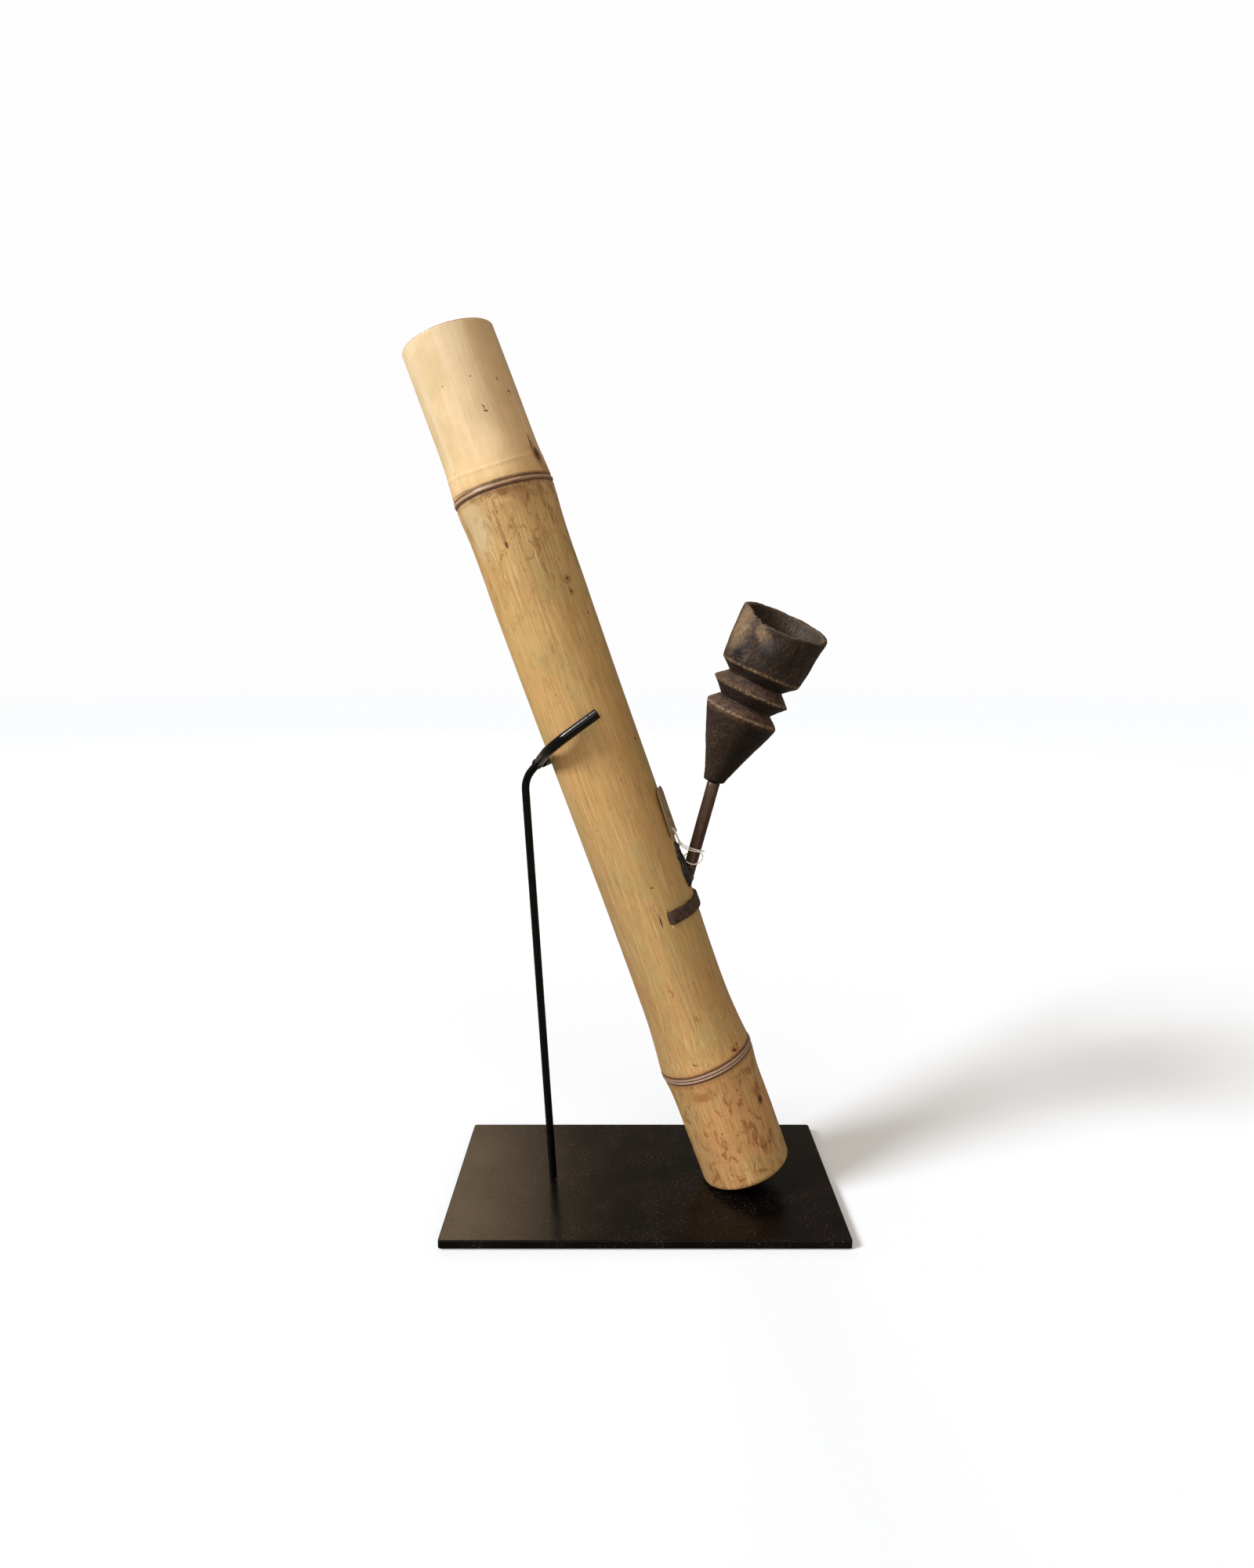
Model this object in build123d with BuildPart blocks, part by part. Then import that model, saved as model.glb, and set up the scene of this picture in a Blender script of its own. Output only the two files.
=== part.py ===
"""A bamboo water pipe leaning on its steel display stand.

Millimetres, +Z up. The origin is the centre of the stand's underside. +X is to the right as the
pipe is looked at, +Y is away from the viewer, and the culm leans towards -X.
"""

import os
from math import cos, radians, sin

from build123d import *

# ---------------------------------------------------------------- driving dimensions
PLATE_W, PLATE_D, PLATE_T = 250.0, 140.0, 5.0
PLATE_CORNER, PLATE_EASE = 2.0, 0.8
FELT_T, FELT_INSET = 1.0, 3.0
PLATE_TOP = FELT_T + PLATE_T

CULM_LEAN = 19.54  # degrees from upright, towards -X
CULM_FOOT = Vector(72.2, 0, PLATE_TOP)  # where the culm's axis meets the plate
CULM_LOW, CULM_HIGH = 10.9, 566.7  # the two rims, measured along the axis from CULM_FOOT
CULM_BORE_R, SKIRT_BORE_R = 22.9, 23.2
FLOOR_NODE, MOUTH_NODE = 91.5, 473.3  # the two joints of the bamboo, along the axis
FLOOR_T, MOUTH_RING_T, MOUTH_RING_R = 7.0, 5.0, 17.0
# Outer radius along the culm: (radius, distance along the axis), swelling at the two joints.
CULM_OUTLINE = [
    (29.6, CULM_LOW), (29.9, 45), (30.1, 76), (31.3, 91), (30.1, 104), (28.6, 124), (28.1, 155), (28.4, 195),
    (28.9, 280), (29.2, 350), (29.5, 405), (29.7, 450), (30.9, MOUTH_NODE), (29.5, 493), (29.0, 515),
    (29.2, 540), (29.4, CULM_HIGH),
]

STEM_LEAN = 14.9  # degrees from upright, towards +X
STEM_ENTRY = Vector(27.6, 0, PLATE_TOP + 205.8)  # where the stem's axis leaves the culm's wall
STEM_IN, STEM_OUT = -75.0, 65.0  # ends of the stem's full section, from STEM_ENTRY
STEM_R_IN, STEM_R_OUT, STEM_BORE_R = 3.8, 4.1, 1.8
STEM_HOLE_R = 4.05
TENON_R, TENON_L = 2.95, 12.0
SOCKET_R, SOCKET_L, SHOULDER_GAP = 3.0, 13.0, 0.3

BOWL_LEAN, BOWL_FORWARD = 23.0, 6.0  # degrees towards +X and towards -Y
BOWL_BASE = Vector(44.9, 0, PLATE_TOP + 271.2)
BOWL_OUTLINE = [
    (0, -3.0), (4.9, -3.0), (6.4, 0), (22.2, 38.6), (23.4, 42.4), (17.0, 49.2), (24.2, 57.8), (17.8, 64.6),
    (26.3, 71.2), (27.2, 111.0), (23.2, 111.0), (21.6, 86.0), (6.0, 81.0), (0, 81.0),
]
BOWL_RIM_AT, BOWL_RIM_FALL = 103.0, 11.0  # the worn rim slopes down towards -Y
BOWL_DRAUGHT_R, BOWL_DRAUGHT_FOOT = 1.8, 9.5

STRAP_AT, STRAP_W, STRAP_T, STRAP_GAP = 195.0, 8.5, 1.5, 0.1
STRAP_FRONT, STRAP_BACK = 20.0, 160.0  # degrees round the culm, from the front towards the right
SPARE_SLIT = 8.0
SLIT_W, SPARE_SLIT_W, SLIT_L = 1.9, 0.8, 9.2

ROD_R = 2.5
ROD_PATH = [(-60.9, 3, 4), (-76.2, 3, 276.5), (-67.5, 1, 286.5), (-57, -33.5, 299.5), (-29, -34.5, 320)]
ROD_BENDS = [18, 11, 22]
REAR_PATH = [(-69.2, 2.5, 285), (-56, 33.5, 288.5), (-31, 34.5, 308)]
REAR_BENDS = [22]
SLEEVE_R, SLEEVE_BORE_R, SLEEVE_START, SLEEVE_PROUD = 3.2, 2.53, 9.0, 0.8
BRAZE_AT, BRAZE_R = Vector(-68.0, 2.2, 286.0), 3.5

PEG_AT, PEG_R, PEG_H = (62.5, 0), 5.0, 28.0
UPRIGHT_SCREW = {"at": (-61, 3), "r": 1.25, "head_r": 2.5, "reach": 8.0}
PEG_SCREW = {"at": PEG_AT, "r": 2.0, "head_r": 4.0, "reach": 12.0}
SCREW_PLAY, HEX_AF_SHARE, HEX_DEPTH = 0.05, 0.5, 1.0

TAG_L, TAG_W, TAG_T = 32.0, 18.0, 0.5
TAG_LOW, TAG_ROUND, TAG_OFF = 240.0, 5.0, 0.45  # lower end along the culm; gap to its skin
TAG_TURN = 78.0  # degrees round the culm, from the front towards the right
TAG_HOLE_R, TAG_HOLE_IN = 1.6, 4.0

STRING_R = 0.45
STRING_ROUTE = [
    (18.6, -5.7, 245.9), (21.0, -6.5, 241.3), (22.7, -6.6, 236.7), (26.6, -6.8, 234.2),
    (32.8, -6.1, 231.9), (38.4, -3.4, 230.4), (38.5, 3.4, 229.2), (32.4, 6.1, 228.0),
    (26.0, 3.2, 226.9), (25.8, -2.4, 225.0), (28.6, -6.4, 222.9), (33.8, -7.0, 222.5),
    (37.9, -5.2, 226.2), (36.3, -7.2, 230.8), (31.0, -7.7, 231.4), (26.2, -8.0, 233.0),
    (22.5, -7.9, 235.9), (20.7, -7.7, 240.7), (18.4, -6.9, 245.7),
]
KNOT_AT, KNOT_R = Vector(23.0, -7.1, 236.2), 1.5


# ---------------------------------------------------------------- frames
def leaning(right, forward=0.0):
    """A unit vector leaning `right` degrees towards +X and `forward` degrees towards -Y."""
    a, b = radians(right), radians(forward)
    return Vector(sin(a) * cos(b), -sin(b), cos(a) * cos(b))


def section_plane(origin, along, sideways):
    """A plane with its x along `sideways` and its y along `along`, for a profile to revolve."""
    return Plane(origin=origin, x_dir=sideways, z_dir=sideways.cross(along))


culm_dir = leaning(-CULM_LEAN)
culm_right = leaning(90 - CULM_LEAN)
culm_axis = Axis(CULM_FOOT, culm_dir)
stem_dir = leaning(STEM_LEAN)
bowl_dir = leaning(BOWL_LEAN, BOWL_FORWARD)


def round_culm(degrees):
    """The outward direction `degrees` round the culm, from the front towards the right."""
    return culm_right * sin(radians(degrees)) + Vector(0, -1, 0) * cos(radians(degrees))


def on_culm(along, degrees, radius):
    return CULM_FOOT + culm_dir * along + round_culm(degrees) * radius


# ---------------------------------------------------------------- the stand
def screw_holes(screws):
    for screw in screws:
        with Locations(Plane(origin=(*screw["at"], FELT_T), z_dir=(0, 0, -1))):
            CounterSinkHole(
                radius=screw["r"] + SCREW_PLAY,
                counter_sink_radius=screw["head_r"] + SCREW_PLAY,
                depth=PLATE_T,
            )


with BuildPart() as base_plate:
    with BuildSketch(Plane.XY.offset(FELT_T)):
        RectangleRounded(PLATE_W, PLATE_D, PLATE_CORNER)
    extrude(amount=PLATE_T)
    fillet(base_plate.faces().sort_by(Axis.Z)[-1].edges(), PLATE_EASE)
    screw_holes([UPRIGHT_SCREW, PEG_SCREW])

with BuildPart() as base_felt:
    with BuildSketch():
        RectangleRounded(PLATE_W - 2 * FELT_INSET, PLATE_D - 2 * FELT_INSET, PLATE_CORNER)
    extrude(amount=FELT_T)


def tapped_hole(screw):
    """A blind hole up into a rod that stands on the plate."""
    with BuildSketch(Plane.XY.offset(PLATE_TOP)) as mouth:
        with Locations(screw["at"]):
            Circle(screw["r"] + SCREW_PLAY)
    extrude(mouth.sketch, amount=screw["reach"] + 1, mode=Mode.SUBTRACT)


with BuildPart() as upright_rod:
    with BuildLine() as rod_line:
        FilletPolyline(*ROD_PATH, radius=ROD_BENDS)
    with BuildSketch(rod_line.line ^ 0):
        Circle(ROD_R)
    sweep(path=rod_line.line)
    split(bisect_by=Plane.XY.offset(PLATE_TOP), keep=Keep.TOP)
    tapped_hole(UPRIGHT_SCREW)

with BuildPart() as rear_prong:
    with BuildLine() as rear_line:
        FilletPolyline(*REAR_PATH, radius=REAR_BENDS)
    with BuildSketch(rear_line.line ^ 0):
        Circle(ROD_R)
    sweep(path=rear_line.line)
    add(upright_rod.part, mode=Mode.SUBTRACT)

with BuildPart() as braze_fillet:
    with Locations(BRAZE_AT):
        Sphere(BRAZE_R)
    add(upright_rod.part, mode=Mode.SUBTRACT)
    add(rear_prong.part, mode=Mode.SUBTRACT)


def prong_sleeve(path, bends):
    """Clear tubing over a prong: it starts past the crotch and ends just beyond the tip."""
    root, bend, tip = (Vector(*p) for p in path[-3:])
    start = root + (bend - root).normalized() * SLEEVE_START
    end = tip + (tip - bend).normalized() * SLEEVE_PROUD
    with BuildLine() as line:
        FilletPolyline(start, bend, end, radius=[bends[-1]])
    with BuildSketch(line.line ^ 0) as wall:
        Circle(SLEEVE_R)
        Circle(SLEEVE_BORE_R, mode=Mode.SUBTRACT)
    sweep(wall.sketch, path=line.line)


with BuildPart() as front_prong_sleeve:
    prong_sleeve(ROD_PATH, ROD_BENDS)

with BuildPart() as rear_prong_sleeve:
    prong_sleeve(REAR_PATH, REAR_BENDS)

with BuildPart() as foot_peg:
    with BuildSketch(Plane.XY.offset(PLATE_TOP)):
        with Locations(PEG_AT):
            Circle(PEG_R)
    extrude(amount=PEG_H)
    fillet(foot_peg.faces().sort_by(Axis.Z)[-1].edges(), 2)
    tapped_hole(PEG_SCREW)


def countersunk_screw(screw):
    """A countersunk socket screw, driven up through the plate into the rod above it."""
    head_depth = screw["head_r"] - screw["r"]
    profile = [
        (0, 0), (screw["head_r"], 0), (screw["r"], head_depth),
        (screw["r"], PLATE_T + screw["reach"]), (0, PLATE_T + screw["reach"]),
    ]
    foot = Vector(*screw["at"], FELT_T)
    with BuildSketch(section_plane(foot, Vector(0, 0, 1), Vector(1, 0, 0))) as half:
        with BuildLine():
            Polyline(*profile, close=True)
        make_face()
    revolve(half.sketch, axis=Axis(foot, (0, 0, 1)))
    with BuildSketch(Plane(origin=foot)) as drive:
        RegularPolygon(screw["head_r"] * HEX_AF_SHARE, 6)
    extrude(drive.sketch, amount=HEX_DEPTH, mode=Mode.SUBTRACT)


with BuildPart() as upright_screw:
    countersunk_screw(UPRIGHT_SCREW)

with BuildPart() as peg_screw:
    countersunk_screw(PEG_SCREW)

# ---------------------------------------------------------------- the pipe
# The culm before it is bored: the seal is shaped against it as well.
with BuildPart() as culm_blank:
    with BuildSketch(section_plane(CULM_FOOT, culm_dir, culm_right)):
        with BuildLine():
            Spline(*CULM_OUTLINE)
            Polyline(CULM_OUTLINE[-1], (0, CULM_HIGH), (0, CULM_LOW), CULM_OUTLINE[0])
        make_face()
    revolve(axis=culm_axis)


def bored_length(radius, low, high):
    with BuildSketch(Plane(origin=CULM_FOOT + culm_dir * low, x_dir=culm_right, z_dir=culm_dir)) as hollow:
        Circle(radius)
    extrude(hollow.sketch, amount=high - low, mode=Mode.SUBTRACT)


def wall_slit(degrees, width):
    """A slit through the wall, along the grain."""
    inner = on_culm(STRAP_AT, degrees, CULM_BORE_R - 2)
    with BuildSketch(Plane(origin=inner, x_dir=culm_dir, z_dir=round_culm(degrees))) as slit:
        Rectangle(SLIT_L, width)
    extrude(slit.sketch, amount=10, mode=Mode.SUBTRACT)


with BuildPart() as bamboo_tube:
    add(culm_blank.part)
    bored_length(SKIRT_BORE_R, CULM_LOW, FLOOR_NODE - FLOOR_T / 2)
    bored_length(CULM_BORE_R, FLOOR_NODE + FLOOR_T / 2, MOUTH_NODE - MOUTH_RING_T / 2)
    bored_length(MOUTH_RING_R, MOUTH_NODE - MOUTH_RING_T / 2, MOUTH_NODE + MOUTH_RING_T / 2)
    bored_length(CULM_BORE_R, MOUTH_NODE + MOUTH_RING_T / 2, CULM_HIGH)
    with BuildSketch(Plane(origin=STEM_ENTRY - stem_dir * 30, z_dir=stem_dir)):
        Circle(STEM_HOLE_R)
    extrude(amount=60, mode=Mode.SUBTRACT)
    for angle, opening in ((STRAP_FRONT, SLIT_W), (STRAP_BACK, SLIT_W), (SPARE_SLIT, SPARE_SLIT_W)):
        wall_slit(angle, opening)

stem_section = section_plane(STEM_ENTRY, stem_dir, leaning(90 + STEM_LEAN))

with BuildPart() as pipe_stem:
    with BuildSketch(stem_section):
        with BuildLine():
            Polyline(
                (STEM_BORE_R, STEM_IN), (STEM_R_IN, STEM_IN), (STEM_R_OUT, STEM_OUT), (TENON_R, STEM_OUT),
                (TENON_R, STEM_OUT + TENON_L), (STEM_BORE_R, STEM_OUT + TENON_L), close=True,
            )
        make_face()
    revolve(axis=Axis(STEM_ENTRY, stem_dir))

with BuildPart() as pipe_bowl:
    with BuildSketch(section_plane(BOWL_BASE, bowl_dir, leaning(90 + BOWL_LEAN))):
        with BuildLine():
            Polyline(*BOWL_OUTLINE, close=True)
        make_face()
    revolve(axis=Axis(BOWL_BASE, bowl_dir))
    rim = Plane(origin=BOWL_BASE + bowl_dir * BOWL_RIM_AT, z_dir=leaning(BOWL_LEAN, BOWL_FORWARD + BOWL_RIM_FALL))
    split(bisect_by=rim, keep=Keep.BOTTOM)
    # the end that meets the stem's shoulder is trimmed square to the stem
    with BuildSketch(Plane(origin=STEM_ENTRY + stem_dir * (STEM_OUT + SHOULDER_GAP), z_dir=-stem_dir)):
        Circle(12)
    extrude(amount=10, mode=Mode.SUBTRACT)
    with BuildSketch(Plane(origin=STEM_ENTRY + stem_dir * STEM_OUT, z_dir=stem_dir)):
        Circle(SOCKET_R)
    extrude(amount=SHOULDER_GAP + SOCKET_L, mode=Mode.SUBTRACT)
    with BuildSketch(Plane(origin=BOWL_BASE + bowl_dir * BOWL_DRAUGHT_FOOT, z_dir=bowl_dir)):
        Circle(BOWL_DRAUGHT_R)
    extrude(amount=BOWL_OUTLINE[-1][1] - BOWL_DRAUGHT_FOOT, mode=Mode.SUBTRACT)

SEAL_OUTLINE = [(0, -11), (5.0, -11), (7.6, -4), (7.4, 3), (5.2, 8), (0, 8)]

with BuildPart() as resin_seal:
    with BuildSketch(stem_section):
        with BuildLine():
            Polyline(*SEAL_OUTLINE, close=True)
        make_face()
    revolve(axis=Axis(STEM_ENTRY, stem_dir))
    add(culm_blank.part, mode=Mode.SUBTRACT)
    with BuildSketch(Plane(origin=STEM_ENTRY - stem_dir * 30, z_dir=stem_dir)):
        Circle(STEM_HOLE_R)
    extrude(amount=60, mode=Mode.SUBTRACT)

STRAP_R = 28.45 + STRAP_GAP  # the culm's radius under the strap, and the gap between them


def strap_end(degrees):
    """A tab that turns in through a slit."""
    inner = CULM_BORE_R - 1
    foot = on_culm(STRAP_AT, degrees, inner)
    with BuildSketch(Plane(origin=foot, x_dir=culm_dir, z_dir=round_culm(degrees))) as tab:
        Rectangle(STRAP_W, STRAP_T)
    extrude(tab.sketch, amount=STRAP_R + STRAP_T - inner)


with BuildPart() as strap:
    with BuildSketch(section_plane(CULM_FOOT, culm_dir, round_culm(STRAP_FRONT))):
        with Locations((STRAP_R + STRAP_T / 2, STRAP_AT)):
            Rectangle(STRAP_T, STRAP_W)
    revolve(axis=culm_axis, revolution_arc=STRAP_BACK - STRAP_FRONT)
    strap_end(STRAP_FRONT)
    strap_end(STRAP_BACK)

# ---------------------------------------------------------------- the tag and its string
TAG_SKIN_R = 29.0  # the culm's radius behind the tag
tag_out = round_culm(TAG_TURN)
tag_middle = CULM_FOOT + culm_dir * (TAG_LOW + TAG_L / 2) + tag_out * (TAG_SKIN_R + TAG_OFF)
tag_plane = Plane(origin=tag_middle, x_dir=culm_dir, z_dir=tag_out)

with BuildPart() as tag:
    with BuildSketch(tag_plane):
        Rectangle(TAG_L, TAG_W)
    extrude(amount=TAG_T)
    fillet(tag.edges().filter_by(Axis(tag_middle, tag_out)).sort_by(culm_axis)[-2:], TAG_ROUND)
    with BuildSketch(tag_plane):
        with Locations((-TAG_L / 2 + TAG_HOLE_IN, 0)):
            Circle(TAG_HOLE_R)
    extrude(amount=TAG_T, mode=Mode.SUBTRACT)


def bend_radii(route):
    """The largest arc that each corner's two runs allow."""
    points = [Vector(*p) for p in route]
    radii = []
    for before, corner, after in zip(points, points[1:], points[2:]):
        into, out = corner - before, after - corner
        half_turn = radians(into.get_angle(out) / 2)
        radii.append(0.45 * min(into.length, out.length) * cos(half_turn) / sin(half_turn))
    return radii


string_bends = bend_radii(STRING_ROUTE)

with BuildPart() as tag_string:
    with BuildLine() as string_line:
        FilletPolyline(*STRING_ROUTE, radius=string_bends)
    with BuildSketch(string_line.line ^ 0):
        Circle(STRING_R)
    sweep(path=string_line.line)

with BuildPart() as string_knot:
    with Locations(KNOT_AT):
        Sphere(KNOT_R)

# ---------------------------------------------------------------- write the pieces
PIECES = {
    "base_plate": base_plate, "base_felt": base_felt, "upright_rod": upright_rod, "rear_prong": rear_prong,
    "braze_fillet": braze_fillet, "front_prong_sleeve": front_prong_sleeve,
    "rear_prong_sleeve": rear_prong_sleeve, "foot_peg": foot_peg, "upright_screw": upright_screw,
    "peg_screw": peg_screw, "bamboo_tube": bamboo_tube, "pipe_stem": pipe_stem, "pipe_bowl": pipe_bowl,
    "resin_seal": resin_seal, "strap": strap, "tag": tag, "tag_string": tag_string,
    "string_knot": string_knot,
}

os.makedirs("parts", exist_ok=True)
for piece_name, piece in PIECES.items():
    piece.part.label = piece_name
    export_step(piece.part, f"parts/{piece_name}.step")

string_length = sum(edge.length for edge in string_line.line.edges())
string_section = 3.14159265 * STRING_R**2
print("string length", round(string_length, 1), "smallest bend", round(min(string_bends), 2))
print("bends", [round(r, 1) for r in string_bends])
print("volume over section x length", round(tag_string.part.volume / (string_section * string_length), 4))
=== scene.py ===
"""Looks for a bamboo water pipe on its steel display stand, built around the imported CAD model.

Shapes are worked out in millimetres and scaled when they become meshes. Along the culm, a place is
given as (distance along the axis from the foot, degrees round from the front towards the right).
"""

from math import cos, radians, sin, tau

import bmesh
import bpy
import numpy as np
from mathutils import Matrix, Vector, noise


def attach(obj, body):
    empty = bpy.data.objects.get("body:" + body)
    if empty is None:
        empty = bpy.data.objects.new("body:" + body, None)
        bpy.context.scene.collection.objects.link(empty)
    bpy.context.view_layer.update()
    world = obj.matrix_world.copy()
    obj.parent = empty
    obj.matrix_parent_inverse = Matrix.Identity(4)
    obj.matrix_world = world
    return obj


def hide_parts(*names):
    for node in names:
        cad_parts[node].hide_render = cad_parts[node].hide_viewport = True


MM = 0.001

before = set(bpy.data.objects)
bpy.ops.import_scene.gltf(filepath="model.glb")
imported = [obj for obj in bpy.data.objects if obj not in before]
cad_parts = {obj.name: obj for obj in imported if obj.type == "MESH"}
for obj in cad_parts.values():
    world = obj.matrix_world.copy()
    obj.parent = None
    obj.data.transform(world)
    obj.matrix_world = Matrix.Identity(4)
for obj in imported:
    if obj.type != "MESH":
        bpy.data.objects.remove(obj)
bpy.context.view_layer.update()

# ---- places shared with the CAD
PLATE_TOP = 6.0
CULM_LEAN = 19.54
CULM_FOOT = Vector((72.2, 0, PLATE_TOP))
CULM_LOW, CULM_HIGH = 10.9, 566.7
CULM_BORE, SKIRT_BORE, MOUTH_RING_R = 22.9, 23.2, 17.0
LOWER_NODE, UPPER_NODE = 91.5, 473.3
FLOOR_T, MOUTH_RING_T = 7.0, 5.0
CULM_OUTLINE = [
    (29.6, CULM_LOW), (29.9, 45), (30.1, 76), (31.3, 91), (30.1, 104), (28.6, 124), (28.1, 155), (28.4, 195),
    (28.9, 280), (29.2, 350), (29.5, 405), (29.7, 450), (30.9, UPPER_NODE), (29.5, 493), (29.0, 515),
    (29.2, 540), (29.4, CULM_HIGH),
]
STEM_LEAN = 14.9
STEM_ENTRY = Vector((27.6, 0, 211.8))
STEM_IN, STEM_OUT, TENON_L = -75.0, 65.0, 12.0
STEM_R_IN, STEM_BORE_R, TENON_R = 3.8, 1.8, 2.95
BOWL_LEAN, BOWL_FORWARD = 23.0, 6.0
BOWL_BASE = Vector((44.9, 0, 277.2))
STRAP_AT, STRAP_W, STRAP_T, STRAP_SKIN_R = 195.0, 8.5, 1.5, 28.45
STRAP_FRONT, STRAP_BACK, SPARE_SLIT = 20.0, 160.0, 8.0
TAG_L, TAG_W, TAG_T, TAG_LOW, TAG_TURN, TAG_R = 32.0, 18.0, 0.5, 240.0, 78.0, 29.45
TAG_HOLE_R, TAG_HOLE_IN, TAG_ROUND = 1.6, 4.0, 5.0
STRING_D = 0.9
STRING_ROUTE = [
    (18.6, -5.7, 245.9), (21.0, -6.5, 241.3), (22.7, -6.6, 236.7), (26.6, -6.8, 234.2),
    (32.8, -6.1, 231.9), (38.4, -3.4, 230.4), (38.5, 3.4, 229.2), (32.4, 6.1, 228.0),
    (26.0, 3.2, 226.9), (25.8, -2.4, 225.0), (28.6, -6.4, 222.9), (33.8, -7.0, 222.5),
    (37.9, -5.2, 226.2), (36.3, -7.2, 230.8), (31.0, -7.7, 231.4), (26.2, -8.0, 233.0),
    (22.5, -7.9, 235.9), (20.7, -7.7, 240.7), (18.4, -6.9, 245.7),
]
KNOT_AT = Vector((23.0, -7.1, 236.2))


def standing(origin, right, forward=0.0):
    """The frame of something leaning `right` degrees towards +X and `forward` degrees towards -Y."""
    lean = Matrix.Rotation(radians(forward), 4, "X")
    turn = Matrix.Rotation(radians(right), 4, "Y")
    return Matrix.Translation(origin * MM) @ turn @ lean


culm_frame = standing(CULM_FOOT, -CULM_LEAN)
stem_frame = standing(STEM_ENTRY, STEM_LEAN)
bowl_frame = standing(BOWL_BASE, BOWL_LEAN, BOWL_FORWARD)


# ---- camera, light and floor
CAMERA_AT = (-0.0109, -0.5828, 0.3538)
CAMERA_DOWN = 7.86
CAMERA_LENS, CAMERA_SENSOR = 21.24, 36.0
STAGE_R = 9.0
KEY_FROM, FILL_FROM = (-0.735, -0.32, 0.598), (-0.10, -0.85, 0.50)  # directions to the suns
GLOW_AT = (-0.78, 2.75, 1.85)  # mirrored in the plate, as the camera sees it
PLATE_FRONT_LEFT = (-0.125, -0.07, 0.006)


def make_camera():
    data = bpy.data.cameras.new("camera")
    data.lens, data.sensor_width = CAMERA_LENS, CAMERA_SENSOR
    data.clip_start = 0.01
    camera = bpy.data.objects.new("camera", data)
    camera.location = CAMERA_AT
    camera.rotation_euler = (radians(90 - CAMERA_DOWN), 0, 0)
    bpy.context.scene.collection.objects.link(camera)
    bpy.context.scene.camera = camera


def add_light(name, kind, place, target, **settings):
    """A light that shines from a place towards a target; only the direction counts for a sun."""
    data = bpy.data.lights.new(name, kind)
    for key, value in settings.items():
        setattr(data, key, value)
    light = bpy.data.objects.new(name, data)
    light.location = place
    light.rotation_euler = (Vector(target) - Vector(place)).to_track_quat("-Z", "Y").to_euler()
    bpy.context.scene.collection.objects.link(light)


def plain_material(name, colour, roughness, emission=0.0):
    material = bpy.data.materials.new(name)
    material.use_nodes = True
    shader = material.node_tree.nodes["Principled BSDF"]
    shader.inputs["Base Color"].default_value = (*colour, 1)
    shader.inputs["Roughness"].default_value = roughness
    shader.inputs["Specular IOR Level"].default_value = 0.0
    shader.inputs["Emission Color"].default_value = (1, 1, 1, 1)
    shader.inputs["Emission Strength"].default_value = emission
    return material


def make_studio():
    """A white floor and a white surround that the camera sees, with soft light of their own making."""
    scene = bpy.context.scene
    scene.view_settings.view_transform = "Standard"
    scene.world = bpy.data.worlds.new("studio")
    scene.world.use_nodes = True
    background = scene.world.node_tree.nodes["Background"]
    background.inputs["Color"].default_value = (1.0, 0.84, 0.68, 1)
    background.inputs["Strength"].default_value = 0.28
    bpy.ops.mesh.primitive_circle_add(vertices=96, radius=STAGE_R, fill_type="NGON")
    floor = bpy.context.object
    floor.name = "floor"
    floor.data.materials.append(plain_material("floor_white", (0.755, 0.81, 0.88), 0.9, 0.16))
    bpy.ops.mesh.primitive_uv_sphere_add(segments=64, ring_count=32, radius=STAGE_R)
    surround = bpy.context.object
    surround.name = "surround"
    surround.data.materials.append(plain_material("surround_white", (0, 0, 0), 1.0, 0.985))
    for stage in (floor, surround):
        stage.visible_diffuse = stage.visible_glossy = stage.visible_transmission = False
    surround.visible_shadow = False
    centre = (0, 0, 0)
    add_light("key", "SUN", KEY_FROM, centre, energy=3.3, angle=radians(16), color=(1.0, 1.0, 1.0))
    add_light("front_fill", "SUN", FILL_FROM, centre, energy=1.05, angle=radians(70), color=(1.0, 0.89, 0.76))
    add_light(
        "warm_glow", "AREA", GLOW_AT, PLATE_FRONT_LEFT,
        shape="DISK", size=0.8, energy=9, color=(1.0, 0.72, 0.42),
    )


# ---- small mesh and number helpers
def smooth_table(points, at):
    """A smooth curve through (value, place) points, read at each of `at`."""
    values = np.array([p[0] for p in points], float)
    places = np.array([p[1] for p in points], float)
    slopes = np.gradient(values, places)
    at = np.clip(np.asarray(at, float), places[0], places[-1])
    span = np.clip(np.searchsorted(places, at, side="right") - 1, 0, len(places) - 2)
    width = places[span + 1] - places[span]
    t = (at - places[span]) / width
    start = (1 + 2 * t) * (1 - t) ** 2 * values[span] + t * (1 - t) ** 2 * width * slopes[span]
    end = t * t * (3 - 2 * t) * values[span + 1] + t * t * (t - 1) * width * slopes[span + 1]
    return start + end


def spaced(low, high, coarse, spots):
    """Places from low to high: `coarse` apart, and finer within `reach` of each (centre, reach, fine)."""
    places = [low]
    while places[-1] < high:
        here = places[-1]
        step = coarse
        for centre, reach, fine in spots:
            away = max(0.0, abs(here + coarse / 2 - centre) - reach)
            step = min(step, fine + away * 0.35)
        places.append(here + step)
    places[-1] = high
    return places


def bell(distance, width):
    return np.exp(-((distance / width) ** 2))


def outwards(points):
    """Unit vectors away from the Z axis, for points off it."""
    flat = points * (1, 1, 0)
    return flat / (np.linalg.norm(flat, axis=1)[:, None] + 1e-9)


def travel(line):
    """How far each point is along a line of points."""
    return np.concatenate([[0], np.cumsum(np.linalg.norm(np.diff(line, axis=0), axis=1))])


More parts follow.
